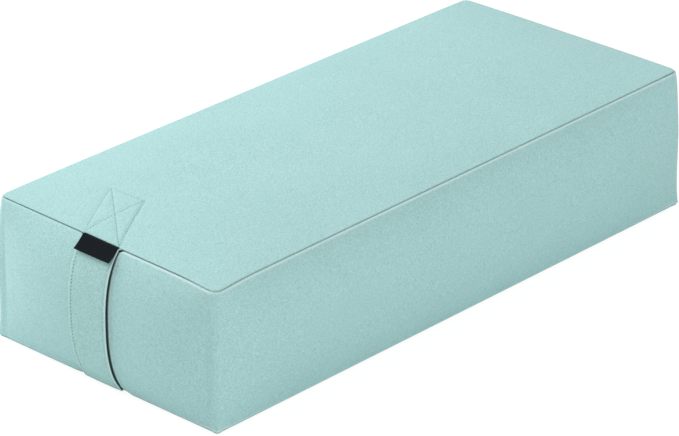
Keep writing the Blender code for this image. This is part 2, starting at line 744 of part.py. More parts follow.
def make_ply(name, carrier, side):
    """The outer or the inner ply of a strap."""
    route = offset_route(strap_route(), side * GAP / 2)

    def place(column, row):
        across = STRAP_WIDTH * (column / STRAP_COLUMNS - 1 / 2)
        return strap_place(route[row], across)

    bm = mapped_grid(STRAP_COLUMNS, len(route) - 1, place)
    if side < 0:
        bmesh.ops.reverse_faces(bm, faces=bm.faces)
    ply = add_object(name, mesh_of(name, bm), HANDLE_CLOTH, parent=carrier)
    thicken(ply, STRAP_PLY)


def make_edge_stitch(name, carrier, side, highest):
    """A row of topstitching along one edge of the strap's outer face, up to this height."""
    route = offset_route(strap_route(), STRAP / 2 + GAP + THREAD / 2)
    across = side * (STRAP_WIDTH / 2 - EDGE_STITCH_INSET)
    lowest = BOTTOM_SEAM_HEIGHT + THREAD
    shown = [point for point in route if point.x < 0 and lowest < point.y < highest]
    points = [strap_place(point, across) for point in shown]
    add_object(name, tube_mesh(name, points, THREAD), SEWING_THREAD, parent=carrier)


def stitch_box_point(depth, across):
    """A point of the stitched box on the top panel, at these shares of its depth and half width."""
    inward = STITCH_BOX_INSET + STITCH_BOX_DEPTH * depth
    lean = TAIL_LEAN_SHARE * inward + TAIL_LEAN_START
    y = HANDLE_SHIFT + lean + STITCH_BOX_WIDTH / 2 * across
    panel = top_height(inward - SEAM_HALF_LENGTH, y)
    return inward, y, panel + GAP + THREAD / 2


def stitch_row(first, last):
    """Points of a straight row of stitches, with its end point left out."""
    shares = [step / STITCH_POINTS for step in range(STITCH_POINTS)]
    return [
        stitch_box_point(
            first[0] + (last[0] - first[0]) * share, first[1] + (last[1] - first[1]) * share
        )
        for share in shares
    ]


def make_stitch_box(name, carrier):
    """The box and cross of stitches that holds the strap's tail under the top panel."""
    corners = ((0, -1), (0, 1), (1, 1), (1, -1))
    around = []
    for number, corner in enumerate(corners):
        around += stitch_row(corner, corners[(number + 1) % len(corners)])
    made = add_object(name, tube_mesh(name, around, THREAD, True), SEWING_THREAD, parent=carrier)
    for label, first, last in (("rising", 0, 2), ("falling", 1, 3)):
        points = stitch_row(corners[first], corners[last]) + [stitch_box_point(*corners[last])]
        cutter = f"{name}_{label}_row"
        join_with(made, cutter, tube_mesh(cutter, points, THREAD), parent=carrier)


def make_label(carrier):
    """The woven label: its top edge against the seam, its lower edge standing a little off the strap."""
    radius = 2 * GAP + STRAP
    route = []
    for share in LABEL_BEND_SHARES:
        angle = bow_angle() + (LABEL_TOP_ANGLE - bow_angle()) * share
        route.append(bend_point(radius, angle))
    start = route[-1]
    fall = Vector((-math.sin(bow_angle()), -math.cos(bow_angle())))
    drop = LABEL_LENGTH - radius * (LABEL_TOP_ANGLE - bow_angle())
    for share in LABEL_FALL_SHARES:
        flare = Vector((-LABEL_FLARE * share**2, 0))
        route.append(start + fall * drop * share + flare)
    route.reverse()

    def place(column, row):
        across = LABEL_WIDTH * (column - 1 / 2)
        return (route[row].x, HANDLE_SHIFT + across, route[row].y)

    bm = mapped_grid(1, len(route) - 1, place)
    label = add_object("woven_label", mesh_of("woven_label", bm), LABEL_WEAVE, parent=carrier)
    thicken(label, LABEL_THICKNESS)


def make_handle():
    """The carry handle: two plies, their edge stitching up to the label, the stitched box, and the label."""
    carrier = add_empty("near_handle_carrier", (-SEAM_HALF_LENGTH, 0, 0))
    under_label = TOP_SEAM_HEIGHT - LABEL_LENGTH * UNDER_LABEL_SHARE
    make_ply("near_handle_face_ply", carrier, 1)
    make_ply("near_handle_backing_ply", carrier, -1)
    make_edge_stitch("near_handle_edge_stitch_left", carrier, 1, under_label)
    make_edge_stitch("near_handle_edge_stitch_right", carrier, -1, under_label)
    make_stitch_box("near_handle_box_stitch", carrier)
    make_label(carrier)


# Filling
def swelled(point):
    """Moves a point of the flat-sided filling outward with the cover's bulging faces and its crown."""
    x, y, z = point
    reach_x = smooth_step(2 * abs(x) / FILL_HIGH.x)
    reach_y = smooth_step(2 * abs(y) / FILL_HIGH.y)
    beside = zip_side_bulge(x) if y > 0 else side_bulge(x)
    rise = (z - FILL_LOW.z) / (FILL_HIGH.z - FILL_LOW.z)
    return Vector(
        (
            x + math.copysign(end_bulge(y) * reach_x * swell(z), x),
            y + math.copysign(beside * reach_y * swell(z), y),
            z + (top_height(x, y) - TOP_SEAM_HEIGHT) * rise,
        )
    )


def filling_core(point):
    """The nearest point of the box that the filling's round edges turn about."""
    return Vector(min(max(point[k], FILL_CORE_LOW[k]), FILL_CORE_HIGH[k]) for k in range(3))


def filling_skin(inset):
    """The filling's outer face at this depth, with flat sides and round edges."""
    low = FILL_LOW + Vector((inset, inset, inset))
    high = FILL_HIGH - Vector((inset, inset, inset))
    radius = FILLING_EDGE_RADIUS - inset
    bm = bmesh.new()
    bmesh.ops.create_cube(bm, size=1)
    for vertex in bm.verts:
        vertex.co = (low + high) / 2 + vertex.co * (high - low)
    round_lines = (radius, radius * ROUND_LINE_SHARE)
    seam_lines = [side * (FILL_HIGH.x - depth) for depth in CAP_DEPTHS for side in (-1, 1)]
    for axis, shares in enumerate((FILL_SHARES_ALONG, FILL_SHARES_ACROSS, FILL_SHARES_UP)):
        middle = (low[axis] + high[axis]) / 2
        half = (high[axis] - low[axis]) / 2 - radius
        lines = [low[axis] + line for line in round_lines]
        lines += [high[axis] - line for line in round_lines]
        lines += [middle + half * share for share in shares]
        lines += seam_lines if axis == 0 else []
        for line in lines:
            plane = Vector((0, 0, 0))
            plane[axis] = 1
            geometry = bm.verts[:] + bm.edges[:] + bm.faces[:]
            bmesh.ops.bisect_plane(bm, geom=geometry, plane_co=plane * line, plane_no=plane)
    for vertex in bm.verts:
        core = filling_core(vertex.co)
        vertex.co = core + radius * (vertex.co - core).normalized()
    return bm


def keep_between(bm, low, high):
    """Cuts a skin off square at either end."""
    for place, side in ((low, -1), (high, 1)):
        if place is None:
            continue
        geometry = bm.verts[:] + bm.edges[:] + bm.faces[:]
        bmesh.ops.bisect_plane(
            bm, dist=ON_PLANE, geom=geometry, plane_co=(place, 0, 0), plane_no=(side, 0, 0), clear_outer=True
        )


def line_skin(bm, thickness):
    """Closes a cut skin into a wall of this thickness."""
    skin, rim = bm.faces[:], [edge for edge in bm.edges if edge.is_boundary]
    inner = {}
    for vertex in bm.verts[:]:
        inward = (filling_core(vertex.co) - vertex.co).normalized()
        inner[vertex] = bm.verts.new(vertex.co + thickness * inward)
    for face in skin:
        bm.faces.new([inner[vertex] for vertex in reversed(face.verts)])
    for edge in rim:
        first, second = edge.verts
        bm.faces.new((first, second, inner[second], inner[first]))
    bmesh.ops.recalc_face_normals(bm, faces=bm.faces[:])


def add_filling(name, bm, finish):
    """Adds a piece of the filling once the cover has given it its bulging faces."""
    for vertex in bm.verts:
        vertex.co = swelled(vertex.co)
    add_object(name, mesh_of(name, bm), finish)


def make_layer(name, inset, low, high, thickness, finish):
    """One sewn or laid piece of a layer round the foam."""
    bm = filling_skin(inset)
    keep_between(bm, low, high)
    line_skin(bm, thickness)
    add_filling(name, bm, finish)


def make_filling():
    """Foam core, batting wrapped round it and laid on its ends, and the cotton liner that holds them."""
    liner_cut = FILL_HIGH.x - LINER_CAP_DEPTH
    make_layer("liner_sleeve", 0, None, liner_cut, LINER, LINER_COTTON)
    make_layer("liner_closing_panel", 0, liner_cut + GAP, None, LINER, LINER_COTTON)
    batting_inset = LINER + LAYER_CLEARANCE
    batting_cut = FILL_HIGH.x - BATTING_CAP_DEPTH
    make_layer("batting_wrap", batting_inset, -batting_cut, batting_cut, BATTING, BATTING_FIBRE)
    make_layer("batting_near_end", batting_inset, None, -batting_cut - GAP, BATTING, BATTING_FIBRE)
    make_layer("batting_far_end", batting_inset, batting_cut + GAP, None, BATTING, BATTING_FIBRE)
    core_inset = batting_inset + BATTING + CORE_CLEARANCE
    add_filling("foam_core", filling_skin(core_inset), FOAM)


def make_zip():
    """Both plackets, the tapes and coils, the stops, the slider and its pull tab."""
    make_placket("zip_placket_upper", 1)
    make_placket("zip_placket_lower", -1)
    make_zip_half("zip_{}_upper", 1)
    make_zip_half("zip_{}_lower", -1)
    inner = COIL_SPLIT / 2
    outer = inner + COIL_WIDTH
    make_stop("zip_top_stop_upper", 1, inner, outer)
    make_stop("zip_top_stop_lower", 1, -outer, -inner)
    make_stop("zip_bottom_stop", -1, -outer, outer)
    make_puller(make_slider())


make_panel("top_panel", top_height, 1)
make_panel("bottom_panel", bottom_height, -1)
make_boxing_strip()
make_zip()
make_handle()
make_filling()
bpy.context.view_layer.update()
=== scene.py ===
"""Rectangular yoga bolster: a stuffed box cushion in brushed aqua microfibre, with a carry strap."""

import math

import bpy
import numpy as np
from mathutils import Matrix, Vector


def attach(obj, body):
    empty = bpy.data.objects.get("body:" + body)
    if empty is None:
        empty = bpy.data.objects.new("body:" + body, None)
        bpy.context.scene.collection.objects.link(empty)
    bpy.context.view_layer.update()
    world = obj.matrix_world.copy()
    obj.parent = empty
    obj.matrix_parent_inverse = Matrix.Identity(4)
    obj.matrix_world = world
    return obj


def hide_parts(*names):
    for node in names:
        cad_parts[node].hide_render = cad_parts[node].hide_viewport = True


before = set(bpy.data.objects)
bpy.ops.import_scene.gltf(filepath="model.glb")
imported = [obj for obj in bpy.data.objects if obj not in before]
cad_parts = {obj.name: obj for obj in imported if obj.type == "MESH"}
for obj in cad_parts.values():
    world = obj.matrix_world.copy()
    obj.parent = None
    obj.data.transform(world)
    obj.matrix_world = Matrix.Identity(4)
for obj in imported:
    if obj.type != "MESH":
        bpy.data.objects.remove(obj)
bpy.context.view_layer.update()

# Top panel. One rectangle of brushed microfibre with round corners, stretched over the filling so that
# it crowns, and sewn to the sides by a plain seam whose allowances turn down inside the cover.
LENGTH = 0.711
WIDTH = 0.308
TOP_SEAM_HEIGHT = 0.157
BOTTOM_SEAM_HEIGHT = 0.003
TOP_CROWN = 0.012
SEAM_DRAW_IN = 0.0037
CORNER_RADIUS = 0.009
CROWN_POWER_ALONG = 6
CROWN_POWER_ACROSS = 2.5
HANDLE_SHIFT = 0.002
SEAM_LIP_RADIUS = 0.0015
SEAM_HALF_GAP = 0.00012
SEAM_ALLOWANCE = 0.006
SEAM_SETTLE_START = 0.002
SEAM_SETTLE_REACH = 0.009
PANEL_SPACING = 0.003
STITCHED_SPACING = 0.0016
SLOPE_PROBE = 0.001
RIM_STEPS = (-0.004, -0.002, 0, 0.0003, 0.0006, 0.0010, 0.0014,
             0.0018, 0.0023, 0.003, 0.0042, 0.0058, 0.0075, 0.009)
TINY = 1e-9
DIAGONAL = math.sqrt(0.5)
SEAM_SLANT = math.radians(135)
HALF_LENGTH = LENGTH / 2 - SEAM_DRAW_IN
HALF_WIDTH = WIDTH / 2 - SEAM_DRAW_IN
INNER_LENGTH = HALF_LENGTH - CORNER_RADIUS
INNER_WIDTH = HALF_WIDTH - CORNER_RADIUS
MID_HEIGHT = (TOP_SEAM_HEIGHT + BOTTOM_SEAM_HEIGHT) / 2
HALF_HEIGHT = (TOP_SEAM_HEIGHT - BOTTOM_SEAM_HEIGHT) / 2

# How the stuffed faces swell past the seams: these sizes shape the sides, and turn the lips of each seam
END_BULGE = 0.018
SIDE_BULGE = 0.015
ZIP_SIDE_BULGE = 0.010
ZIP_BAY = 0.600
SHOULDER_POWER = 8
BULGE_POWER = 2.5
END_BULGE_POWER = 3
SIDE_BULGE_POWER = 6

# How the stuffed bolster settles: how far each corner of the top seam sags or rises, the near front dip, the
# pointed lower corners, the spread foot, the shallow waves, and the upright corners that give way
NEAR_BACK_LIFT = 0.0018
NEAR_FRONT_LIFT = -0.0030
FAR_FRONT_LIFT = 0.0036
FAR_BACK_LIFT = 0.0018
CORNER_DIP = 0.0022
CORNER_DIP_REACH = 0.028
CORNER_POINT = 0.0042
FOOT_PINCH_HALF_WIDTH = 0.026
FOOT_PINCH_FADE = 0.012
FOOT_PINCH_SHARE = 0.6
RUMPLE_DEPTH = 0.0011
RUMPLE_EDGE_POWER = 8
RUMPLE_SEAM_POWER = 4
RUMPLE_END_START = 0.6
TOP_WAVE = (7.1, 2.3, 0.4)
TOP_CROSS_WAVE = (-1.9, 3.7, 1.1)
SIDE_WAVE = (8.3, 0.9, 2)
SIDE_CROSS_WAVE = (0.7, 1.3, 0)
END_WAVE = (4.6, 1.2, -0.8)
SOFT_CORNER_DEPTH = 0.0034
SOFT_CORNER_REACH = 0.024
FIRM_CORNER_SHARE = 0.25


def ease(share):
    """Rises from 0 to 1 with no corner at either end."""
    held = np.clip(share, 0, 1)
    return held * held * (3 - 2 * held)


def bulge_at(x, y, outward_x, outward_y):
    """How far the side swells out below a place on the seam line; the round corners stay drawn in."""
    end = END_BULGE * (1 - np.minimum(abs(y) / INNER_WIDTH, 1) ** END_BULGE_POWER)
    side = SIDE_BULGE * (1 - np.minimum(abs(x) / INNER_LENGTH, 1) ** SIDE_BULGE_POWER)
    zip_side = ZIP_SIDE_BULGE * (1 - ease((abs(x) - ZIP_BAY / 2) / (INNER_LENGTH - ZIP_BAY / 2)))
    beside = np.where(outward_y > 0, zip_side, side)
    return np.where(abs(outward_x) > abs(outward_y), end, beside)


def side_slope(bulge):
    """Angle from the vertical at which the side leaves its seam."""
    return np.arctan((SHOULDER_POWER * SEAM_DRAW_IN + BULGE_POWER * bulge) / HALF_HEIGHT)


def top_height(x, y):
    """Height of the top panel's face: a crown that falls to the seam all round."""
    along = np.maximum(1 - abs(x / HALF_LENGTH) ** CROWN_POWER_ALONG, 0)
    across = np.maximum(1 - abs(y / HALF_WIDTH) ** CROWN_POWER_ACROSS, 0)
    return TOP_SEAM_HEIGHT + TOP_CROWN * along * across


def between_seams(z):
    """1 over most of the sides' height, falling to 0 at both seams."""
    return 1 - np.minimum(abs((z - MID_HEIGHT) / HALF_HEIGHT), 1) ** RUMPLE_SEAM_POWER


def turned_by(wave, first, second):
    """How far a wave has turned at a place: its turn along two directions, and its start."""
    return wave[0] * first + wave[1] * second + wave[2]


def rumpled(x, y, z):
    """Shallow soft waves of the top, of the long side without the zip and of the ends; none at the seams."""
    along, across, up = x / HALF_LENGTH, y / HALF_WIDTH, (z - MID_HEIGHT) / HALF_HEIGHT
    off_ends = 1 - np.minimum(abs(along), 1) ** RUMPLE_EDGE_POWER
    off_sides = 1 - np.minimum(abs(across), 1) ** RUMPLE_EDGE_POWER
    off_seams = between_seams(z)
    top_wave = np.sin(turned_by(TOP_WAVE, along, across)) * np.sin(turned_by(TOP_CROSS_WAVE, along, across))
    side_wave = np.sin(turned_by(SIDE_WAVE, along, up)) * np.cos(turned_by(SIDE_CROSS_WAVE, along, up))
    end_wave = np.sin(turned_by(END_WAVE, across, up))
    moved_x = np.sign(x) * end_wave * off_seams * off_sides * ease(2 * abs(along) - RUMPLE_END_START)
    moved_y = -side_wave * off_seams * off_ends * ease(-2 * across)
    moved_z = top_wave * off_ends * off_sides * ease(up)
    return RUMPLE_DEPTH * moved_x, RUMPLE_DEPTH * moved_y, RUMPLE_DEPTH * moved_z


def softened(x, y, z):
    """How far the upright corners give way between their seams, the near one by the zipless side the most."""
    past_x = np.clip((abs(x) - HALF_LENGTH) / SOFT_CORNER_REACH + 1, 0, 1) ** 2
    past_y = np.clip((abs(y) - HALF_WIDTH) / SOFT_CORNER_REACH + 1, 0, 1) ** 2
    depth = SOFT_CORNER_DEPTH * np.where((x < 0) & (y < 0), 1, FIRM_CORNER_SHARE) * between_seams(z)
    return -np.sign(x) * depth * past_x * past_y, -np.sign(y) * depth * past_x * past_y


def past_core(x, y):
    """How far a place lies past the start of the round corners, both ways, as shares of their radius."""
    past_x = np.maximum(abs(x) - INNER_LENGTH, 0) / CORNER_RADIUS
    past_y = np.maximum(abs(y) - INNER_WIDTH, 0) / CORNER_RADIUS
    return past_x, past_y


def settled(points):
    """Points of the bolster as it stands: the top's corners sag or rise a little, the lower ones come to
    a point, and the foot spreads all round, less so where the strap goes in."""
    x, y, z = points[..., 0], points[..., 1], points[..., 2]
    along = np.clip(x / HALF_LENGTH, -1, 1) / 2 + 0.5
    across = np.clip(y / HALF_WIDTH, -1, 1) / 2 + 0.5
    near = NEAR_FRONT_LIFT + (NEAR_BACK_LIFT - NEAR_FRONT_LIFT) * across
    far = FAR_FRONT_LIFT + (FAR_BACK_LIFT - FAR_FRONT_LIFT) * across
    from_corner = np.hypot(x + HALF_LENGTH, y + HALF_WIDTH) / CORNER_DIP_REACH
    lift = near + (far - near) * along - CORNER_DIP * np.exp(-(from_corner**2))
    upper = ease((z - MID_HEIGHT) / HALF_HEIGHT)
    foot = SEAM_DRAW_IN * np.clip((MID_HEIGHT - z) / HALF_HEIGHT, 0, 1) ** SHOULDER_POWER
    pinch = 1 - ease((abs(y - HANDLE_SHIFT) - FOOT_PINCH_HALF_WIDTH) / FOOT_PINCH_FADE)
    pinch = FOOT_PINCH_SHARE * pinch * ease(-2 * x / HALF_LENGTH)
    past_x, past_y = past_core(x, y)
    reach = np.maximum(np.hypot(past_x, past_y), SLOPE_PROBE)
    cornered = 2 * past_x * past_y / reach**2 * np.minimum(reach, 1)
    point = CORNER_POINT * cornered**2 * (1 - upper) * DIAGONAL
    rumple_x, rumple_y, rumple_z = rumpled(x, y, z)
    soft_x, soft_y = softened(x, y, z)
    settled_x = x * (1 + foot * (1 - pinch) / HALF_LENGTH) + np.sign(x) * point + rumple_x + soft_x
    settled_y = y * (1 + foot / HALF_WIDTH) + np.sign(y) * point + rumple_y + soft_y
    return np.stack((settled_x, settled_y, z + lift * upper + rumple_z), axis=-1)


def lip_turn(panel_slope, beside_slope):
    """How far a seam's lip turns, from the face of its cloth to the line midway between both cloths."""
    return SEAM_SLANT - (panel_slope + beside_slope) / 2


def lip_curl(turn, past_groove):
    """A seam lip's section, at lengths of cloth past the groove: along its own face, and inward from it."""
    radius = SEAM_LIP_RADIUS
    angle = np.clip(turn - past_groove / radius, 0, turn)
    hidden = np.minimum(past_groove, 0)
    along = -radius * np.tan(turn / 2) + radius * np.sin(angle) - hidden * np.cos(turn)
    inward = radius * (1 - np.cos(angle)) - hidden * np.sin(turn)
    return along, inward


def lip_point(slope, turn, past_groove):
    """A point of a panel's lip, outward and up from the seam line, at a length of cloth past the groove."""
    along, inward = lip_curl(turn, past_groove)
    outward = along * np.cos(slope) - inward * np.sin(slope)
    up = -along * np.sin(slope) - inward * np.cos(slope)
    return outward, up + SEAM_HALF_GAP


def shape_from(name, points, faces):
    """A shape in the scene from its points and faces."""
    mesh = bpy.data.meshes.new(name)
    mesh.from_pydata(points, [], faces)
    shape = bpy.data.objects.new(name, mesh)
    bpy.context.scene.collection.objects.link(shape)
    return shape


def piece_from(name, points, wrap=False, ring=False):
    """A piece from rows of points, as it stands. Wrap makes it a tube of its rows, and ring joins its last
    row to its first."""
    rows, columns = points.shape[:2]
    number = np.arange(rows * columns).reshape(rows, columns)
    after = np.roll(number, -1, axis=1)
    across = slice(None) if wrap else slice(None, -1)
    down = slice(None) if ring else slice(None, -1)
    below, below_after = np.roll(number, -1, axis=0), np.roll(after, -1, axis=0)
    corners = [corner[down, across] for corner in (number, after, below_after, below)]
    faces = np.stack(corners, axis=-1).reshape(-1, 4).tolist()
    if wrap and not ring:
        faces += [number[0, ::-1].tolist(), number[-1].tolist()]
    piece = shape_from(name, settled(points).reshape(-1, 3).tolist(), faces)
    piece.data.shade_smooth()
    return piece


def grid_lines(half, *stretches):
    """Lines across a panel from rim to rim: even stretches out from the middle, then the rim's own."""
    lines = [0]
    for reach, spacing in (*stretches, (half - RIM_STEPS[-1], PANEL_SPACING)):
        count = max(round((reach - lines[-1]) / spacing), 1)
        lines.extend(np.linspace(lines[-1], reach, count + 1)[1:])
    lines = np.array(lines[:-1] + [half - step for step in reversed(RIM_STEPS)])
    return np.concatenate((-lines[:0:-1], lines))


def rim_frame(x, y):
    """Each point's place with the corners of the grid made round, and the outward direction near the rim."""
    past_x, past_y = past_core(x, y)
    reach = np.maximum(np.maximum(past_x, past_y), TINY)
    angle = np.where(past_x >= past_y, past_y / reach, 2 - past_x / reach) * math.pi / 4
    in_corner = (past_x > 0) & (past_y > 0)
    turned_x = np.where(in_corner, np.cos(angle), past_x > 0)
    turned_y = np.where(in_corner, np.sin(angle), past_y > 0)
    round_x = np.where(in_corner, INNER_LENGTH + CORNER_RADIUS * reach * turned_x, abs(x))
    round_y = np.where(in_corner, INNER_WIDTH + CORNER_RADIUS * reach * turned_y, abs(y))
    sign_x, sign_y = np.sign(x), np.sign(y)
    return sign_x * round_x, sign_y * round_y, sign_x * turned_x, sign_y * turned_y


# Strap tail sewn under the top panel: where it lies, the box with a cross that holds it, how both mark the
# cloth above, and the painted shade and painted highlight of the seam beside it
TAIL_DEPTH = 0.079
TAIL_LEAN_SHARE = 0.54
TAIL_LEAN_START = 0.003
STRAP_WIDTH = 0.050
STITCH_BOX_INSET = 0.002
STITCH_BOX_DEPTH = 0.0765
STITCH_BOX_WIDTH = 0.0475
TAIL_RIDGE = 0.0008
TAIL_RIDGE_EDGE = 0.004
STITCH_PULL = 0.0007
STITCH_PULL_REACH = 0.0016
STITCH_SETTLE = 0.0004
STITCH_SETTLE_REACH = 0.006
# Width of the painted shade in a seam's groove
PAINTED_SHADE_WIDTH = 0.0009
# Place and width of the painted highlight along a seam lip's crest, and its share on the panels
PAINTED_HIGHLIGHT_PLACE = 0.0024
PAINTED_HIGHLIGHT_WIDTH = 0.0008
PANEL_HIGHLIGHT_SHARE = 0.2
# How much weaker the painted shade is along the long sides and at the near corner, and the painted highlight
# at the near end's zip side
LONG_SEAM_SHADE_CUT = 0.72
NEAR_CORNER_SHADE_CUT = 0.8
ZIP_CORNER_HIGHLIGHT_CUT = 0.8
SEAM_FADE = 0.06
BOX_ROWS = (
    ((0, -1), (0, 1)),
    ((0, 1), (1, 1)),
    ((1, 1), (1, -1)),
    ((1, -1), (0, -1)),
    ((0, -1), (1, 1)),
    ((0, 1), (1, -1)),
)


def box_place(depth, across):
    """Plan place, inward from the end's seam, of a point of the stitched box given as shares of it."""
    inward = STITCH_BOX_INSET + STITCH_BOX_DEPTH * depth
    lean = TAIL_LEAN_SHARE * inward + TAIL_LEAN_START
    return inward, HANDLE_SHIFT + lean + STITCH_BOX_WIDTH / 2 * across


def distance_to_row(inward, y, row):
    """Distance in plan to one row of the stitched box."""
    (x1, y1), (x2, y2) = box_place(*row[0]), box_place(*row[1])
    run_x, run_y = x2 - x1, y2 - y1
    share = ((inward - x1) * run_x + (y - y1) * run_y) / (run_x**2 + run_y**2)
    share = np.clip(share, 0, 1)
    return np.hypot(inward - x1 - share * run_x, y - y1 - share * run_y)


def sewn_relief(x, y):
    """Height that the sewn tail gives the top panel: a low ridge, drawn down along the stitches."""
    inward = HALF_LENGTH + x
    across = y - HANDLE_SHIFT - TAIL_LEAN_START - TAIL_LEAN_SHARE * inward
    inside = np.minimum(STRAP_WIDTH / 2 - abs(across), np.minimum(TAIL_DEPTH - inward, inward))
    ridge = TAIL_RIDGE * ease(inside / TAIL_RIDGE_EDGE)
    nearest = np.min([distance_to_row(inward, y, row) for row in BOX_ROWS], axis=0)
    pull = STITCH_PULL * np.exp(-((nearest / STITCH_PULL_REACH) ** 2))
    settle = STITCH_SETTLE * np.exp(-((nearest / STITCH_SETTLE_REACH) ** 2))
    return ridge - pull - settle


def mark_points(piece, name, values):
    """Gives each point of a piece a value, for its material to read."""
    piece.data.attributes.new(name, "FLOAT", "POINT").data.foreach_set("value", values)


def mark_painted_seam_light(piece, from_groove, highlight_share):
    """Marks, for the cloth's material, painted shade in a seam's groove and a painted highlight on its lip's
    crest.
    The painted shade is weaker along the sides and at the near corner, and the highlight at the near end's
    zip side."""
    outside = np.maximum(from_groove, 0).ravel()
    x, y = np.array([vertex.co[:2] for vertex in piece.data.vertices]).T
    from_near_corner = np.hypot(x + HALF_LENGTH, y + HALF_WIDTH)
    shade_share = 1 - LONG_SEAM_SHADE_CUT * ease((HALF_LENGTH - abs(x)) / SEAM_FADE)
    shade_share *= 1 - NEAR_CORNER_SHADE_CUT * (1 - ease(from_near_corner / SEAM_FADE))
    zip_corner_share = ease((-x - HALF_LENGTH) / CORNER_RADIUS + 1) * ease(y / CORNER_RADIUS)
    painted_shade = shade_share * np.exp(-((outside / PAINTED_SHADE_WIDTH) ** 2))
    painted_highlight = highlight_share * np.exp(-(((outside - PAINTED_HIGHLIGHT_PLACE) / PAINTED_HIGHLIGHT_WIDTH) ** 2))
    painted_highlight *= 1 - ZIP_CORNER_HIGHLIGHT_CUT * zip_corner_share
    mark_points(piece, "painted_shade", painted_shade)
    mark_points(piece, "painted_highlight", painted_highlight)


def panel_points(lines_x, lines_y, face, rim_slope):
    """Points of a panel: its face, and at the rim the lip that turns down into the seam."""
    x, y = np.meshgrid(lines_x, lines_y)
    inside = np.minimum(HALF_LENGTH - abs(x), HALF_WIDTH - abs(y))
    plan_x, plan_y, out_x, out_y = rim_frame(x, y)
    seam_x, seam_y = plan_x + out_x * inside, plan_y + out_y * inside
    slope = rim_slope(seam_x, seam_y, out_x, out_y)
    turn = lip_turn(slope, side_slope(bulge_at(seam_x, seam_y, out_x, out_y)))
    shift = SEAM_LIP_RADIUS * (turn - np.tan(turn / 2))
    shift = shift * (1 - ease((inside - SEAM_SETTLE_START) / (SEAM_SETTLE_REACH - SEAM_SETTLE_START)))
    near_rim = inside < SEAM_SETTLE_REACH
    plan_x = plan_x + np.where(near_rim, out_x * shift, 0)
    plan_y = plan_y + np.where(near_rim, out_y * shift, 0)
    lip_out, lip_up = lip_point(slope, turn, inside)
    in_lip = inside < SEAM_LIP_RADIUS * turn
    seam_height = face(seam_x, seam_y)
    plan_x = np.where(in_lip, seam_x + out_x * lip_out, plan_x)
    plan_y = np.where(in_lip, seam_y + out_y * lip_out, plan_y)
    height = np.where(in_lip, seam_height + lip_up, face(plan_x, plan_y))
    return np.stack((plan_x, plan_y, height), axis=-1), inside


def top_rim_slope(seam_x, seam_y, out_x, out_y):
    """Slope at which the crown reaches the seam."""
    before = top_height(seam_x - out_x * SLOPE_PROBE, seam_y - out_y * SLOPE_PROBE)
    return np.arctan((before - TOP_SEAM_HEIGHT) / SLOPE_PROBE)


sewn_from = HALF_LENGTH - TAIL_DEPTH - TAIL_RIDGE_EDGE
sewn_width = HANDLE_SHIFT + TAIL_LEAN_START + TAIL_LEAN_SHARE * TAIL_DEPTH + STRAP_WIDTH / 2
rim_start = HALF_LENGTH - RIM_STEPS[-1]
top_lines_x = grid_lines(HALF_LENGTH, (sewn_from, PANEL_SPACING), (rim_start, STITCHED_SPACING))
top_lines_y = grid_lines(HALF_WIDTH, (sewn_width, STITCHED_SPACING))
top_points, top_inside = panel_points(top_lines_x, top_lines_y, top_height, top_rim_slope)
relief = sewn_relief(top_points[..., 0], top_points[..., 1])
top_points[..., 2] += relief * ease(top_inside / STITCH_BOX_INSET)
top_panel = piece_from("top_panel_cloth", top_points)
mark_painted_seam_light(top_panel, top_inside, PANEL_HIGHLIGHT_SHARE)
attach(top_panel, "root")
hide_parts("top_panel")

# The cover's cloth: brushed polyester microfibre, dyed pale aqua. The nap lies in soft patches and has a fine
# grain of pale fibre tips over deeper gaps; it takes a painted highlight along a seam lip's crest and
# painted shade down in a seam's groove.
CLOTH_COLOUR = (0.540, 0.820, 0.808, 1)
CLOTH_DEEP = (0.336, 0.598, 0.591, 1)
# Painted shade colour for seam grooves, strap edges and the cloth under the strap; painted highlight colour
# for lip crests and strap edges
PAINTED_SHADE_COLOUR = (0.030, 0.075, 0.078, 1)
PAINTED_HIGHLIGHT_COLOUR = (0.800, 0.970, 0.950, 1)
PAINTED_SHADE_SHARE = 1.0
PAINTED_HIGHLIGHT_SHARE = 0.75
NAP_DEPTH = 0.0005
NAP_PATCHES = 0.12
NAP_GRAIN = 0.85
PATCH_SCALE = 13
STREAK_SCALE = 560
GRAIN_SCALE = 1400
MIX_FIRST_COLOUR = 6
MIX_SECOND_COLOUR = 7
MIX_RESULT_COLOUR = 2


def add_node(tree, kind, inputs=(), **settings):
    """A node in a tree, with its settings, and with its sockets set to values or joined to other nodes'."""
    made = tree.nodes.new(kind)
    for setting, value in settings.items():
        setattr(made, setting, value)
    for socket, value in dict(inputs).items():
        if isinstance(value, bpy.types.NodeSocket):
            tree.links.new(value, made.inputs[socket])
        else:
            made.inputs[socket].default_value = value
    return made


def worked(tree, operation, *values, **settings):
    """What a Math node makes of numbers or other nodes' sockets."""
    node = add_node(tree, "ShaderNodeMath", dict(enumerate(values)), operation=operation, **settings)
    return node.outputs[0]


def noise_at(tree, place, scale, **sockets):
    """Soft noise over the surface."""
    noise = add_node(tree, "ShaderNodeTexNoise", {"Vector": place, "Scale": scale, **sockets})
    return noise.outputs["Fac"]


def mixed_colour(tree, share, first, second):
    """A colour between two others, at this share of the way from the first."""
    sockets = {0: share, MIX_FIRST_COLOUR: first, MIX_SECOND_COLOUR: second}
    return add_node(tree, "ShaderNodeMix", sockets, data_type="RGBA").outputs[MIX_RESULT_COLOUR]


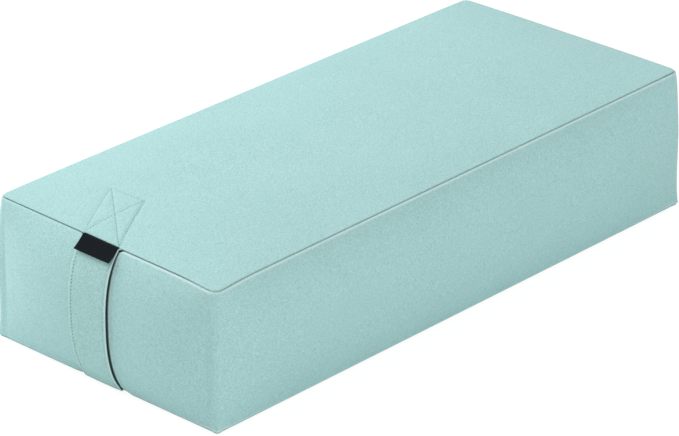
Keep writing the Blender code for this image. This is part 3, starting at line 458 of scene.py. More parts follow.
def start_group(name, *values):
    """A node group that takes two colours and some values and puts out a colour and a height; returns it,
    its input sockets and the place on the surface."""
    group = bpy.data.node_groups.new(name, "ShaderNodeTree")
    for socket in ("Colour", "Deep Colour"):
        group.interface.new_socket(socket, in_out="INPUT", socket_type="NodeSocketColor")
    for socket in values:
        group.interface.new_socket(socket, in_out="INPUT", socket_type="NodeSocketFloat")
    group.interface.new_socket("Colour", in_out="OUTPUT", socket_type="NodeSocketColor")
    group.interface.new_socket("Height", in_out="OUTPUT", socket_type="NodeSocketFloat")
    place = add_node(group, "ShaderNodeTexCoord").outputs["Object"]
    return group, add_node(group, "NodeGroupInput").outputs, place


def end_group(group, given, height, low, high):
    """Ends a group, whose height also mixes its colours, from deep at the low height to pale at the high."""
    share = add_node(group, "ShaderNodeMapRange", {"Value": height, "From Min": low, "From Max": high})
    colour = mixed_colour(group, share.outputs[0], given["Deep Colour"], given["Colour"])
    add_node(group, "NodeGroupOutput", {"Colour": colour, "Height": height})
    return group


def surface_material(name, group, values, depth, settings):
    """A material from a group's colour and height, with the shader's own plain settings."""
    material = bpy.data.materials.new(name)
    material.use_nodes = True
    tree = material.node_tree
    shader = tree.nodes["Principled BSDF"]
    detail = add_node(tree, "ShaderNodeGroup", node_tree=group)
    for socket, value in values.items():
        detail.inputs[socket].default_value = value
    bump = add_node(tree, "ShaderNodeBump", {"Height": detail.outputs["Height"], "Distance": depth})
    tree.links.new(detail.outputs["Colour"], shader.inputs["Base Color"])
    tree.links.new(bump.outputs["Normal"], shader.inputs["Normal"])
    for socket, value in settings.items():
        shader.inputs[socket].default_value = value
    return material


def dress(material, pieces):
    """Puts a material on pieces made for this scene."""
    for piece in pieces:
        piece.data.materials.append(material)


def make_nap_group():
    """The brushed nap, shared by the cover and the strap."""
    group, given, place = start_group("brushed_nap", "Patches", "Grain")
    patch = noise_at(group, place, PATCH_SCALE, Detail=3)
    streak = noise_at(group, place, STREAK_SCALE, Detail=1, Distortion=0.3)
    grain = noise_at(group, place, GRAIN_SCALE, Detail=2, Roughness=0.6)
    fine = worked(group, "SUBTRACT", worked(group, "ADD", streak, grain), 1)
    broad = worked(group, "MULTIPLY", worked(group, "SUBTRACT", patch, 0.5), given["Patches"])
    both = worked(group, "MULTIPLY_ADD", fine, given["Grain"], broad)
    return end_group(group, given, both, low=-0.3, high=0.3)


nap_group = make_nap_group()


def paint_marked_light(tree, colour, mark, share, fold_colour):
    """A cloth's colour turned to another where a piece is marked, to paint shade or a highlight there."""
    marked = add_node(tree, "ShaderNodeAttribute", attribute_name=mark).outputs["Fac"]
    return mixed_colour(tree, worked(tree, "MULTIPLY", marked, share, use_clamp=True), colour, fold_colour)


def cloth_material(name, colour, deep):
    """A brushed cloth, with a painted highlight along its marked crests and painted shade in its marked
    creases.
    """
    values = {"Colour": colour, "Deep Colour": deep, "Patches": NAP_PATCHES, "Grain": NAP_GRAIN}
    settings = {"Roughness": 0.9, "Specular IOR Level": 0.2, "Sheen Weight": 0.12, "Sheen Roughness": 0.45}
    material = surface_material(name, nap_group, values, NAP_DEPTH, settings)
    tree = material.node_tree
    shader = tree.nodes["Principled BSDF"]
    plain = shader.inputs["Base Color"].links[0].from_socket
    with_painted_highlight = paint_marked_light(tree, plain, "painted_highlight", PAINTED_HIGHLIGHT_SHARE, PAINTED_HIGHLIGHT_COLOUR)
    with_painted_shade = paint_marked_light(tree, with_painted_highlight, "painted_shade", PAINTED_SHADE_SHARE, PAINTED_SHADE_COLOUR)
    tree.links.new(with_painted_shade, shader.inputs["Base Color"])
    return material


cover_cloth = cloth_material("brushed_aqua_microfibre", CLOTH_COLOUR, CLOTH_DEEP)
dress(cover_cloth, [top_panel])


# Boxing strip. One strip of the same cloth that runs round both ends and the long side without the zip,
# with no seam at its corners; it swells out between its seams and is sewn to the panels along both edges.
STATION_SPACING = 0.003
SLOT_SPACING = 0.001
CORNER_STATIONS = 14
SIDE_SHARES = np.linspace(0, 1, 44)
ROLL_STEPS = 5
LIP_CUT_SHARE = 0.97
END_FACING = -0.5
SLOT_OPENING = 0.0025
SLOT_SPREAD = 0.005
SLOT_FADE = 0.012
STRAP_SHADE_INSET = 0.0004
BOTTOM_RIM_SLOPE = math.atan(2 * BOTTOM_SEAM_HEIGHT / CORNER_RADIUS)
SIDE_TABLE = np.linspace(-1, 1, 601)
LIP_STEPS = np.array((-0.006, -0.003, 0, 0.0003, 0.0006, 0.0010, 0.0014, 0.0018))


def stand_out(share, bulge):
    """How far the side stands out from its seams, at this share of the half height from its middle."""
    held = np.minimum(abs(share), 1)
    return SEAM_DRAW_IN * (1 - held**SHOULDER_POWER) + bulge * (1 - held**BULGE_POWER)


def slot_at(y, out_x):
    """How far the near end's seams open to let the strap through."""
    off_strap = abs(y - HANDLE_SHIFT) - STRAP_WIDTH / 2
    return SLOT_OPENING * (1 - ease(off_strap / SLOT_SPREAD)) if out_x < END_FACING else 0.0


def side_lip(bulge, panel_slope, slot):
    """Section of the side's lip in its upper seam, from the allowance out: outward and down from the seam."""
    slope = side_slope(bulge)
    turn = lip_turn(panel_slope, slope)
    lip_length = SEAM_LIP_RADIUS * turn
    steps = np.concatenate((LIP_STEPS[LIP_STEPS < lip_length * LIP_CUT_SHARE], [lip_length]))
    shares = np.linspace(0, 1, len(LIP_STEPS) + 1)
    along, inward = lip_curl(turn, np.interp(shares, np.linspace(0, 1, len(steps)), steps))
    outward = -along * np.sin(slope) - inward * np.cos(slope)
    down = -along * np.cos(slope) + inward * np.sin(slope)
    shift = slot * DIAGONAL + SEAM_HALF_GAP
    return outward + shift, down + shift, SEAM_LIP_RADIUS * np.tan(turn / 2)


def side_section(bulge, top_slope, top_slot, bottom_slot):
    """The side's section from its upper allowance to its lower one, as outward and height."""
    upper_out, upper_down, upper_cut = side_lip(bulge, top_slope, top_slot)
    lower_out, lower_up, lower_cut = side_lip(bulge, BOTTOM_RIM_SLOPE, bottom_slot)
    out = stand_out(SIDE_TABLE, bulge)
    height = MID_HEIGHT + HALF_HEIGHT * SIDE_TABLE
    length = np.concatenate(([0], np.cumsum(np.hypot(np.diff(out), np.diff(height)))))
    face_length = length[-1] - lower_cut - upper_cut
    closer_at_seams = lower_cut + face_length * (1 - np.cos(SIDE_SHARES * math.pi)) / 2
    places = (closer_at_seams + lower_cut + face_length * SIDE_SHARES) / 2
    face_out, face_height = np.interp(places, length, out), np.interp(places, length, height)
    blend_top = ease((places - places[-1]) / SLOT_FADE + 1) * top_slot
    blend_bottom = ease(1 - (places - places[0]) / SLOT_FADE) * bottom_slot
    face_out = face_out + (blend_top + blend_bottom) * DIAGONAL
    face_height = face_height - (blend_top - blend_bottom) * DIAGONAL
    upper_height, lower_height = TOP_SEAM_HEIGHT - upper_down, BOTTOM_SEAM_HEIGHT + lower_up
    out = np.concatenate((upper_out, face_out[::-1][1:-1], lower_out[::-1]))
    height = np.concatenate((upper_height, face_height[::-1][1:-1], lower_height[::-1]))
    return out, height


def straight_run(start, end, outward, spacing=STATION_SPACING):
    """Stations along a straight stretch of the seam line."""
    count = round(math.dist(start, end) / spacing)
    run_x, run_y = end[0] - start[0], end[1] - start[1]
    steps = range(count + 1)
    return [(start[0] + run_x * step / count, start[1] + run_y * step / count, *outward) for step in steps]


def corner_run(sign_x, sign_y, quarter):
    """Stations round a corner, between those of the straight stretches beside it."""
    stations = []
    for step in range(1, CORNER_STATIONS):
        angle = math.pi / 2 * (quarter + step / CORNER_STATIONS)
        out_x, out_y = math.cos(angle), math.sin(angle)
        x = sign_x * INNER_LENGTH + CORNER_RADIUS * out_x
        y = sign_y * INNER_WIDTH + CORNER_RADIUS * out_y
        stations.append((x, y, out_x, out_y))
    return stations


def rolled_in(row, along):
    """Rows that turn the cut end of a side's cloth in: round its lip, then in along its allowance."""
    rows = []
    for turn in np.linspace(0, math.pi / 2, ROLL_STEPS + 1)[1:]:
        rows.append(row + SEAM_LIP_RADIUS * np.array((along * math.sin(turn), math.cos(turn) - 1, 0)))
    rows.append(rows[-1] - np.array((0, SEAM_ALLOWANCE, 0)))
    return rows


bay_end = ZIP_BAY / 2 + SEAM_LIP_RADIUS
slot_reach = STRAP_WIDTH / 2 + SLOT_SPREAD
slot_end, slot_start = HANDLE_SHIFT - slot_reach, HANDLE_SHIFT + slot_reach
strip_stations = (
    straight_run((-bay_end, HALF_WIDTH), (-INNER_LENGTH, HALF_WIDTH), (0, 1))
    + corner_run(-1, 1, 1)
    + straight_run((-HALF_LENGTH, INNER_WIDTH), (-HALF_LENGTH, slot_start), (-1, 0))
    + straight_run((-HALF_LENGTH, slot_start), (-HALF_LENGTH, slot_end), (-1, 0), SLOT_SPACING)[1:]
    + straight_run((-HALF_LENGTH, slot_end), (-HALF_LENGTH, -INNER_WIDTH), (-1, 0))[1:]
    + corner_run(-1, -1, 2)
    + straight_run((-INNER_LENGTH, -HALF_WIDTH), (INNER_LENGTH, -HALF_WIDTH), (0, -1))
    + corner_run(1, -1, 3)
    + straight_run((HALF_LENGTH, -INNER_WIDTH), (HALF_LENGTH, INNER_WIDTH), (1, 0))
    + corner_run(1, 1, 0)
    + straight_run((INNER_LENGTH, HALF_WIDTH), (bay_end, HALF_WIDTH), (0, 1))
)
strip_rows, strip_from_groove = [], []
for x, y, out_x, out_y in strip_stations:
    slot = float(slot_at(y, out_x))
    slope = float(top_rim_slope(x, y, out_x, out_y))
    out, height = side_section(float(bulge_at(x, y, out_x, out_y)), slope, slot, slot)
    strip_rows.append(np.stack((x + out_x * out, y + out_y * out, height), axis=-1))
    # Under the strap the end's cloth is marked as if in a seam's groove, so it takes painted shade there
    under_strap = abs(y - HANDLE_SHIFT) - STRAP_WIDTH / 2 + STRAP_SHADE_INSET
    from_groove = np.hypot(out, np.minimum(TOP_SEAM_HEIGHT - height, height - BOTTOM_SEAM_HEIGHT))
    if out_x < END_FACING:
        from_groove = np.minimum(from_groove, max(under_strap, 0))
    strip_from_groove.append(from_groove)
strip_rows = rolled_in(strip_rows[0], 1)[::-1] + strip_rows + rolled_in(strip_rows[-1], -1)
bay_lip = [strip_from_groove[0] * 0 + step for step in (0, *PAINTED_HIGHLIGHT_PLACE * np.linspace(0, 1, ROLL_STEPS))]
boxing_strip = piece_from("boxing_strip_cloth", np.array(strip_rows))
mark_painted_seam_light(boxing_strip, np.array(bay_lip + strip_from_groove + bay_lip[::-1]), 1)
dress(cover_cloth, [boxing_strip])
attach(boxing_strip, "root")
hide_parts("boxing_strip")


# Bottom panel. The same cloth and cut as the top panel. The filling presses it flat on the floor, and at the
# rim it rolls up to its own plain seam with the sides.
BOTTOM_SPACING = 0.006


def bottom_height(x, y):
    """Height of the bottom panel's face."""
    return BOTTOM_SEAM_HEIGHT * np.hypot(*past_core(x, y)) ** 2


def mirrored_bottom(x, y):
    """The bottom face turned upside down, so that its seam is made as the top's is."""
    return 2 * MID_HEIGHT - bottom_height(x, y)


def bottom_rim_slope(seam_x, seam_y, out_x, out_y):
    """Slope at which the bottom panel reaches its seam."""
    return np.full(seam_x.shape, BOTTOM_RIM_SLOPE)


bottom_lines_x = grid_lines(HALF_LENGTH, (INNER_LENGTH - PANEL_SPACING, BOTTOM_SPACING))
bottom_lines_y = grid_lines(HALF_WIDTH, (INNER_WIDTH - PANEL_SPACING, BOTTOM_SPACING))
bottom_points, bottom_inside = panel_points(bottom_lines_x, bottom_lines_y, mirrored_bottom, bottom_rim_slope)
bottom_points[..., 2] = 2 * MID_HEIGHT - bottom_points[..., 2]
bottom_panel = piece_from("bottom_panel_cloth", bottom_points[::-1])
mark_painted_seam_light(bottom_panel, bottom_inside[::-1], PANEL_HIGHLIGHT_SHARE)
dress(cover_cloth, [bottom_panel])
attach(bottom_panel, "root")
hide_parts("bottom_panel")


# Handle strap. A 50 mm strap of the cover's cloth in two plies, stitched along both edges; it comes out of
# the top seam, lies over the swollen end and goes into the bottom seam, with a tail sewn under each panel.
STRAP_PLY = 0.00095
PLY_GAP = 0.0003
STRAP_LIFT = 0.0015
BOW_TOP_SHARE = 0.935
TAIL_TURN = 0.020
TAIL_CLEARANCE = 0.0011
CLOTH = 0.0012
LOWER_TAIL_DEPTH = 0.030
TURN_START_REACH = 0.15
TURN_END_REACH = 0.4
SLOT_OVERRUN = 0.0005
EDGE_STITCH_INSET = 0.0035
EDGE_ROUND = 0.00045
EDGE_STITCH_DIP = 0.00022
EDGE_STITCH_WIDTH = 0.0011
MIDDLE_PUFF = 0.0002
PUFF_POWER = 4
STRAP_PAINTED_EDGE_WIDTH = 0.0008
STRAP_COLOUR = (0.535, 0.815, 0.790, 1)
STRAP_DEEP = (0.315, 0.565, 0.548, 1)
BOW_STEPS = 64
BEND_STEPS = 12
TURN_STEPS = 12
TAIL_STEPS = 24
RIM_TURNS = 5
INNER_LINES = 22
INNER_EDGE_SHARE = 1.6
SAME_PLACE = 1e-7
STRAP_THICKNESS = 2 * STRAP_PLY + PLY_GAP
STRAP_SLOT = STRAP_THICKNESS + PLY_GAP


def strap_out(share):
    """How far the strap's outer face stands out from the seam line, at this share of the half height."""
    lift = STRAP_LIFT * (1 - abs(share) ** SHOULDER_POWER)
    return stand_out(share, END_BULGE) + lift + STRAP_THICKNESS


def bow_points(shares):
    """The strap's middle line over the swollen end, as inward and height, at shares of the half height."""
    return np.stack((STRAP_THICKNESS / 2 - strap_out(shares), MID_HEIGHT + HALF_HEIGHT * shares), axis=-1)


def bend_over_seam(radius, angles):
    """A bend round the end's cloth where it goes down into the upper seam, as inward and height."""
    corner = (STRAP_SLOT + PLY_GAP) * DIAGONAL
    height = TOP_SEAM_HEIGHT - corner + radius * np.sin(angles)
    return np.stack((-corner - radius * np.cos(angles), height), axis=-1)


def upper_route(tail_height, tail_depth):
    """The strap's middle line from half height up and over into the seam, and in along its tail."""
    bow = bow_points(np.linspace(0, BOW_TOP_SHARE, BOW_STEPS))
    rise = bow[-1] - bow[-2]
    first = math.atan2(rise[0], rise[1])
    bend = bend_over_seam(PLY_GAP + STRAP_THICKNESS / 2, np.linspace(first, SEAM_SLANT, BEND_STEPS))
    slope = np.array((DIAGONAL, -DIAGONAL))
    start = bend[-1] + slope * (SEAM_ALLOWANCE + SLOT_OVERRUN)
    end = np.array((start[0] + TAIL_TURN, tail_height(start[0] + TAIL_TURN)))
    start_reach = start + slope * TAIL_TURN * TURN_START_REACH
    end_reach = end - np.array((TAIL_TURN * TURN_END_REACH, 0))
    share = np.linspace(0, 1, TURN_STEPS)[:, None]
    rest = 1 - share
    turn = start * rest**3 + start_reach * 3 * rest**2 * share
    turn = turn + end_reach * 3 * rest * share**2 + end * share**3
    inward = np.linspace(end[0], tail_depth, TAIL_STEPS)[1:]
    tail = np.stack((inward, [tail_height(place) for place in inward]), axis=-1)
    return np.concatenate((bow, bend, turn, tail))


def tail_offset():
    """Depth of the strap's middle line under the face of the panel it is sewn to."""
    return CLOTH + TAIL_CLEARANCE + STRAP_THICKNESS / 2


def upper_tail(inward):
    """Height of the upper tail under the middle line of the top panel."""
    return float(top_height(inward - HALF_LENGTH, 0)) - tail_offset()


def lower_tail(inward):
    """Height of the lower tail over the bottom panel, turned upside down."""
    return float(mirrored_bottom(inward - HALF_LENGTH, 0)) - tail_offset()


def turned_over(route):
    """A route turned upside down."""
    return route[::-1] * (1, -1) + (0, 2 * MID_HEIGHT)


def directions(line):
    """Direction of a line at each of its points."""
    along = np.gradient(line, axis=0)
    return along / np.linalg.norm(along, axis=1)[:, None]


lower_half = turned_over(upper_route(lower_tail, LOWER_TAIL_DEPTH))
strap_route = np.concatenate((lower_half[:-1], upper_route(upper_tail, TAIL_DEPTH)))
apart = np.hypot(*np.diff(strap_route, axis=0).T) > SAME_PLACE
strap_route = strap_route[np.concatenate(([True], apart))]
route_along = directions(strap_route)
route_outward = np.stack((-route_along[:, 1], route_along[:, 0]), axis=-1)


def in_handle(inward, across, height):
    """Places on the strap, given inward from the seam: the upper tail leans aside and follows the crown."""
    upper = height > MID_HEIGHT
    past_seam = ease((inward - SEAM_ALLOWANCE * DIAGONAL - PLY_GAP) / (TAIL_TURN / 2))
    lean = np.where(upper, (TAIL_LEAN_SHARE * inward + TAIL_LEAN_START) * past_seam, 0)
    y = HANDLE_SHIFT + across + lean
    fall = top_height(inward - HALF_LENGTH, 0 * y) - top_height(inward - HALF_LENGTH, y)
    drop = np.where(upper & (inward > 0), fall * ease(inward / TAIL_TURN), 0)
    return np.stack((inward - HALF_LENGTH, y, height - drop), axis=-1)


def round_edged(half, edge_round, turns, inner, thickness):
    """Places across a flat strip with round edges, and how far each face stands out from its middle there."""
    rim = half - edge_round * (1 - np.cos(np.linspace(0, math.pi / 2, turns)))
    across = np.concatenate((rim, inner, -rim[::-1]))
    past = np.clip((abs(across) - half + edge_round) / edge_round, 0, 1)
    return across, np.sqrt(1 - past**2) * thickness / 2


def ply_section(side):
    """Section of a ply, all round: across the strap, and out from its middle line."""
    half = STRAP_WIDTH / 2
    inner = np.linspace(0, half - INNER_EDGE_SHARE * EDGE_ROUND, INNER_LINES)
    inner = np.concatenate((inner[::-1], -inner[1:]))
    across, swell = round_edged(half, EDGE_ROUND, RIM_TURNS, inner, STRAP_PLY)
    stitched = half - EDGE_STITCH_INSET
    dip = EDGE_STITCH_DIP * np.exp(-(((abs(across) - stitched) / EDGE_STITCH_WIDTH) ** 2))
    puff = MIDDLE_PUFF * (1 - np.minimum(abs(across) / stitched, 1) ** PUFF_POWER)
    middle = side * (PLY_GAP + STRAP_PLY) / 2
    outer = middle + side * (swell - dip + puff)
    inner_face = middle - side * swell
    loop_across = np.concatenate((across, across[::-1][1:-1]))
    loop_out = np.concatenate((outer, inner_face[::-1][1:-1]))
    return loop_across, loop_out


def make_ply(name, side):
    """One ply of the strap, all the way from its lower tail to its upper one."""
    across, out = ply_section(side)
    line = strap_route[:, None, :] + route_outward[:, None, :] * out[None, :, None]
    points = in_handle(line[..., 0], across[None, :] + 0 * line[..., 0], line[..., 1])
    if side < 0:
        points, across = points[:, ::-1], across[::-1]
    ply = piece_from(name, points, wrap=True)
    # The face ply's edges get a painted highlight and the backing ply's edges painted shade, where the strap
    # stands off the end
    edge = np.exp(-(((STRAP_WIDTH / 2 - abs(across)) / STRAP_PAINTED_EDGE_WIDTH) ** 2))
    mark_points(ply, "painted_highlight" if side > 0 else "painted_shade", np.tile(edge, len(points)))
    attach(ply, "root")
    return ply


strap_plies = []
for layer, side in (("face", 1), ("backing", -1)):
    ply = make_ply(f"strap_{layer}", side)
    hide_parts(f"near_handle_{layer}_ply")
    strap_plies.append(ply)
dress(cloth_material("strap_microfibre", STRAP_COLOUR, STRAP_DEEP), strap_plies)


# Stitching of the strap. Matching thread, laid in by machine: a row along each edge, and on the top panel
# a box with a cross through cloth and tail; each stitch dips into the cloth at a needle hole, shown as a
# small dark disc of painted shade.
STITCH_PITCH = 0.0038
THREAD_RADIUS = 0.00028
STITCH_ALONG = (0.06, 0.22, 0.5, 0.78, 0.94)
STITCH_RISE = (-0.0003, 0.00005, 0.00016, 0.00005, -0.0003)
STITCH_SWELL = (0.45, 0.95, 1, 0.95, 0.45)
THREAD_SIDES = 6
HOLE_LENGTH = 0.0008
HOLE_WIDTH = 0.00045
HOLE_RISE = 0.00011
HOLE_SIDES = 8
RIGHT_ROW_HOLE_SHADE = 0.4
BOX_ROW_POINTS = 40
THREAD_COLOUR = (0.560, 0.820, 0.800, 1)
THREAD_DEEP = (0.270, 0.480, 0.465, 1)
THREAD_LAY_SCALE = 1900
THREAD_LAY_BEND = 0.8
# Needle holes are flat dark discs just above the cloth: painted shade, smaller on the strap's right row
HOLE_SHADE_COLOUR = (0.045, 0.100, 0.103, 1)
HOLE_SHADE_DEEP = (0.015, 0.040, 0.042, 1)
HOLE_GRAIN_SCALE = 3200
LAY_DEPTH = 0.00006


def make_fibre_group():
    """Fibres spun or laid together, as in a thread or in wadding: noise drawn out along its own bends."""
    group, given, place = start_group("spun_fibre", "Scale", "Bend")
    fibre = noise_at(group, place, given["Scale"], Distortion=given["Bend"], Detail=4, Roughness=0.6)
    return end_group(group, given, fibre, low=0.35, high=0.62)


fibre_group = make_fibre_group()


def fibre_material(name, colour, deep, scale, bend, depth, settings):
    """A material of spun or laid fibre, or of another surface with fine marks drawn out along it."""
    values = {"Colour": colour, "Deep Colour": deep, "Scale": scale, "Bend": bend}
    return surface_material(name, fibre_group, values, depth, settings)


thread_material = fibre_material(
    "matching_thread",
    THREAD_COLOUR,
    THREAD_DEEP,
    THREAD_LAY_SCALE,
    THREAD_LAY_BEND,
    LAY_DEPTH,
    {"Roughness": 0.55, "Specular IOR Level": 0.25},
)
hole_shade_material = fibre_material(
    "needle_hole_painted_shade",
    HOLE_SHADE_COLOUR,
    HOLE_SHADE_DEEP,
    HOLE_GRAIN_SCALE,
    0,
    LAY_DEPTH,
    {"Roughness": 0.95, "Specular IOR Level": 0.25},
)


def stitch_rows(rows, hole_size):
    """Thread, and discs of painted shade at the needle holes, for rows of places on the cloth, each with the
    cloth's normal.
    """
    thread, holes = [], []
    turns = np.linspace(0, 2 * math.pi, THREAD_SIDES, endpoint=False)
    hole_turns = np.linspace(0, 2 * math.pi, HOLE_SIDES, endpoint=False)
    hole_along, hole_across = HOLE_LENGTH * np.cos(hole_turns), HOLE_WIDTH * np.sin(hole_turns)
    for places, normals in rows:
        steps = np.linalg.norm(np.diff(places, axis=0), axis=1)
        length = np.concatenate(([0], np.cumsum(steps)))
        count = max(round(length[-1] / STITCH_PITCH), 1)
        marks = np.linspace(0, length[-1], count + 1)
        points = np.stack([np.interp(marks, length, places[:, k]) for k in range(3)], axis=-1)
        ups = np.stack([np.interp(marks, length, normals[:, k]) for k in range(3)], axis=-1)
        for first, last, up in zip(points, points[1:], ups):
            along = (last - first) / np.linalg.norm(last - first)
            across = np.cross(along, up)
            rings = []
            for share, rise, swell in zip(STITCH_ALONG, STITCH_RISE, STITCH_SWELL):
                middle = first + (last - first) * share + up * rise
                ring = np.outer(np.cos(turns), across) + np.outer(np.sin(turns), up)
                rings.append(middle + ring * THREAD_RADIUS * swell)
            thread.append(np.array(rings))
            hole = np.outer(hole_along, along) + np.outer(hole_across, across)
            holes.append(first + up * HOLE_RISE + hole * hole_size)
    return thread, holes


def stitching_from(name, rows, hole_size=1):
    """A piece of stitching: its threads, then small dark discs of painted shade at its needle holes, which
    take the second material.
    """
    thread, holes = stitch_rows([(settled(places), normals) for places, normals in rows], hole_size)
    points, faces = [], []
    ring = np.arange(THREAD_SIDES)
    for rings in thread:
        start = len(points)
        points.extend(rings.reshape(-1, 3).tolist())
        for level in range(len(STITCH_ALONG) - 1):
            low, high = start + level * THREAD_SIDES, start + (level + 1) * THREAD_SIDES
            for side in ring:
                after = (side + 1) % THREAD_SIDES
                faces.append((low + side, low + after, high + after, high + side))
    threads = len(faces)
    for hole in holes:
        start = len(points)
        points.extend(hole.tolist())
        faces.append(tuple(range(start, start + HOLE_SIDES)))
    stitching = shape_from(name, points, faces)
    stitching.data.shade_smooth()
    for face in stitching.data.polygons[threads:]:
        face.material_index = 1
    for material in (thread_material, hole_shade_material):
        dress(material, [stitching])
    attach(stitching, "root")
    return stitching


def edge_row(side):
    """Places and normals of the topstitching along one edge of the strap, on what shows of it."""
    half = STRAP_THICKNESS / 2 - EDGE_STITCH_DIP
    inward, height = strap_route.T
    shown = (inward < 0) & (height > BOTTOM_SEAM_HEIGHT) & (height < TOP_SEAM_HEIGHT)
    line = (strap_route + route_outward * half)[shown]
    across = np.full(len(line), side * (STRAP_WIDTH / 2 - EDGE_STITCH_INSET))
    places = in_handle(line[:, 0], across, line[:, 1])
    outward = route_outward[shown]
    normals = np.stack((outward[:, 0], 0 * across, outward[:, 1]), axis=-1)
    return places, normals


def box_row(row):
    """Places and normals of one row of the stitched box, on the drawn-down face of the top panel."""
    share = np.linspace(0, 1, BOX_ROW_POINTS)
    (depth1, across1), (depth2, across2) = row
    inward, y = box_place(depth1 + (depth2 - depth1) * share, across1 + (across2 - across1) * share)
    x = inward - HALF_LENGTH
    height = top_height(x, y) + sewn_relief(x, y) * ease(inward / STITCH_BOX_INSET)
    normals = np.tile((0.0, 0.0, 1.0), (len(x), 1))
    return np.stack((x, y, height), axis=-1), normals


for hand, side, hole_size in (("left", 1, 1), ("right", -1, RIGHT_ROW_HOLE_SHADE)):
    row = stitching_from(f"strap_stitching_{hand}", [edge_row(side)], hole_size)
    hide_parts(f"near_handle_edge_stitch_{hand}")
box = stitching_from("box_and_cross_stitching", [box_row(row) for row in BOX_ROWS])
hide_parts("near_handle_box_stitch")


# Woven label. A short length of plain black satin-woven tape, caught in the top seam over the strap; it hangs
# in front of the strap with its lower edge standing a little off it.
LABEL_WIDTH = 0.0485
LABEL_LENGTH = 0.0185
LABEL_THICKNESS = 0.0005
LABEL_FLARE = 0.0024
LABEL_TOP_TURN = math.radians(120)
LABEL_ROWS = 24
LABEL_BEND_STEPS = 10
LABEL_LINES = 25
LABEL_RIM_TURNS = 4
LABEL_SLOPE_PROBE_SHARE = 0.01
LABEL_EDGE_ROUND = 0.0002
LABEL_CURL = 0.0006
LABEL_COLOUR = (0.0035, 0.0085, 0.0145, 1)
LABEL_DEEP = (0.0010, 0.0025, 0.0045, 1)
LABEL_THREAD_COUNT = 9000
SLUB_SCALE = 420
WEAVE_DEPTH = 0.00005


def make_weave_group():
    """Threads crossing at right angles, as in a woven tape or sheet, with a little unevenness."""
    group, given, place = start_group("crossed_threads", "Thread Count")
    sockets = {0: place, "Scale": given["Thread Count"]}
    scaled = add_node(group, "ShaderNodeVectorMath", sockets, operation="SCALE")
    waves = add_node(group, "ShaderNodeVectorMath", {0: scaled.outputs[0]}, operation="SINE").outputs[0]
    parts = add_node(group, "ShaderNodeSeparateXYZ", {0: waves}).outputs
    swapped = add_node(group, "ShaderNodeCombineXYZ", {0: parts[1], 1: parts[2], 2: parts[0]}).outputs[0]
    crossing = add_node(group, "ShaderNodeVectorMath", {0: waves, 1: swapped}, operation="DOT_PRODUCT")
    slub = noise_at(group, place, SLUB_SCALE, Detail=3)
    height = worked(group, "MULTIPLY_ADD", slub, 2, crossing.outputs["Value"])
    return end_group(group, given, height, low=0, high=2)


weave_group = make_weave_group()


def woven_material(name, colour, deep, thread_count, settings):
    """A material of crossed threads."""
    values = {"Colour": colour, "Deep Colour": deep, "Thread Count": thread_count}
    return surface_material(name, weave_group, values, WEAVE_DEPTH, settings)


def label_route():
    """The label's middle line from the seam down, as inward and height."""
    below, bow_top = bow_points(np.array((BOW_TOP_SHARE - LABEL_SLOPE_PROBE_SHARE, BOW_TOP_SHARE)))
    slope = math.atan2(*(bow_top - below))
    radius = 2 * PLY_GAP + STRAP_THICKNESS + LABEL_THICKNESS / 2
    bend = bend_over_seam(radius, np.linspace(LABEL_TOP_TURN, slope, LABEL_BEND_STEPS))
    drop = LABEL_LENGTH - radius * (LABEL_TOP_TURN - slope)
    share = np.linspace(0, 1, LABEL_ROWS)[1:, None]
    fall = np.array((-math.sin(slope), -math.cos(slope)))
    return np.concatenate((bend, bend[-1] + fall * drop * share - np.array((LABEL_FLARE, 0)) * share**2))


def label_points():
    """The label as a tube of rows that hang from the seam, with round edges that curl a little lower down."""
    route = label_route()
    along = directions(route)
    outward = np.stack((along[:, 1], -along[:, 0]), axis=-1)
    half = LABEL_WIDTH / 2
    inner = half - 2 * LABEL_EDGE_ROUND
    lines = np.linspace(inner, -inner, LABEL_LINES)
    across, swell = round_edged(half, LABEL_EDGE_ROUND, LABEL_RIM_TURNS, lines, LABEL_THICKNESS)
    loop_across = np.concatenate((across, across[::-1][1:-1]))
    loop_out = np.concatenate((swell, -swell[::-1][1:-1]))
    fall_share = np.linspace(0, 1, len(route))[:, None]
    curl = LABEL_CURL * fall_share**2 * (loop_across / half) ** 2
    line = route[:, None, :] + outward[:, None, :] * (loop_out[None, :] + curl)[..., None]
    inward, height = line[..., 0], line[..., 1]
    return np.stack((inward - HALF_LENGTH, HANDLE_SHIFT + loop_across + 0 * inward, height), axis=-1)


label = piece_from("woven_label_tape", label_points(), wrap=True)
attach(label, "root")
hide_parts("woven_label")
black_satin = woven_material(
    "black_satin_weave",
    LABEL_COLOUR,
    LABEL_DEEP,
    LABEL_THREAD_COUNT,
    {"Roughness": 0.75, "Specular IOR Level": 0.1},
)
dress(black_satin, [label])


# Zip plackets. Two strips of the cover's cloth close the long side at the back, above and below the zip.
# Each is sewn to its panel, folded back along the zip, and topstitched through the tape beside the fold.
ZIP_CHANNEL = 0.010
ZIP_HEM = 0.012
FOLD_RADIUS = 0.0011
FOLD_TURNS = 10
PLACKET_GAP = 0.0003
PLACKET_STITCH_INSET = 0.003
PLACKET_RIPPLE = 0.0003
PLACKET_RIPPLE_LENGTH = 0.046
ZIP_FACE = HALF_WIDTH + SEAM_DRAW_IN + ZIP_SIDE_BULGE


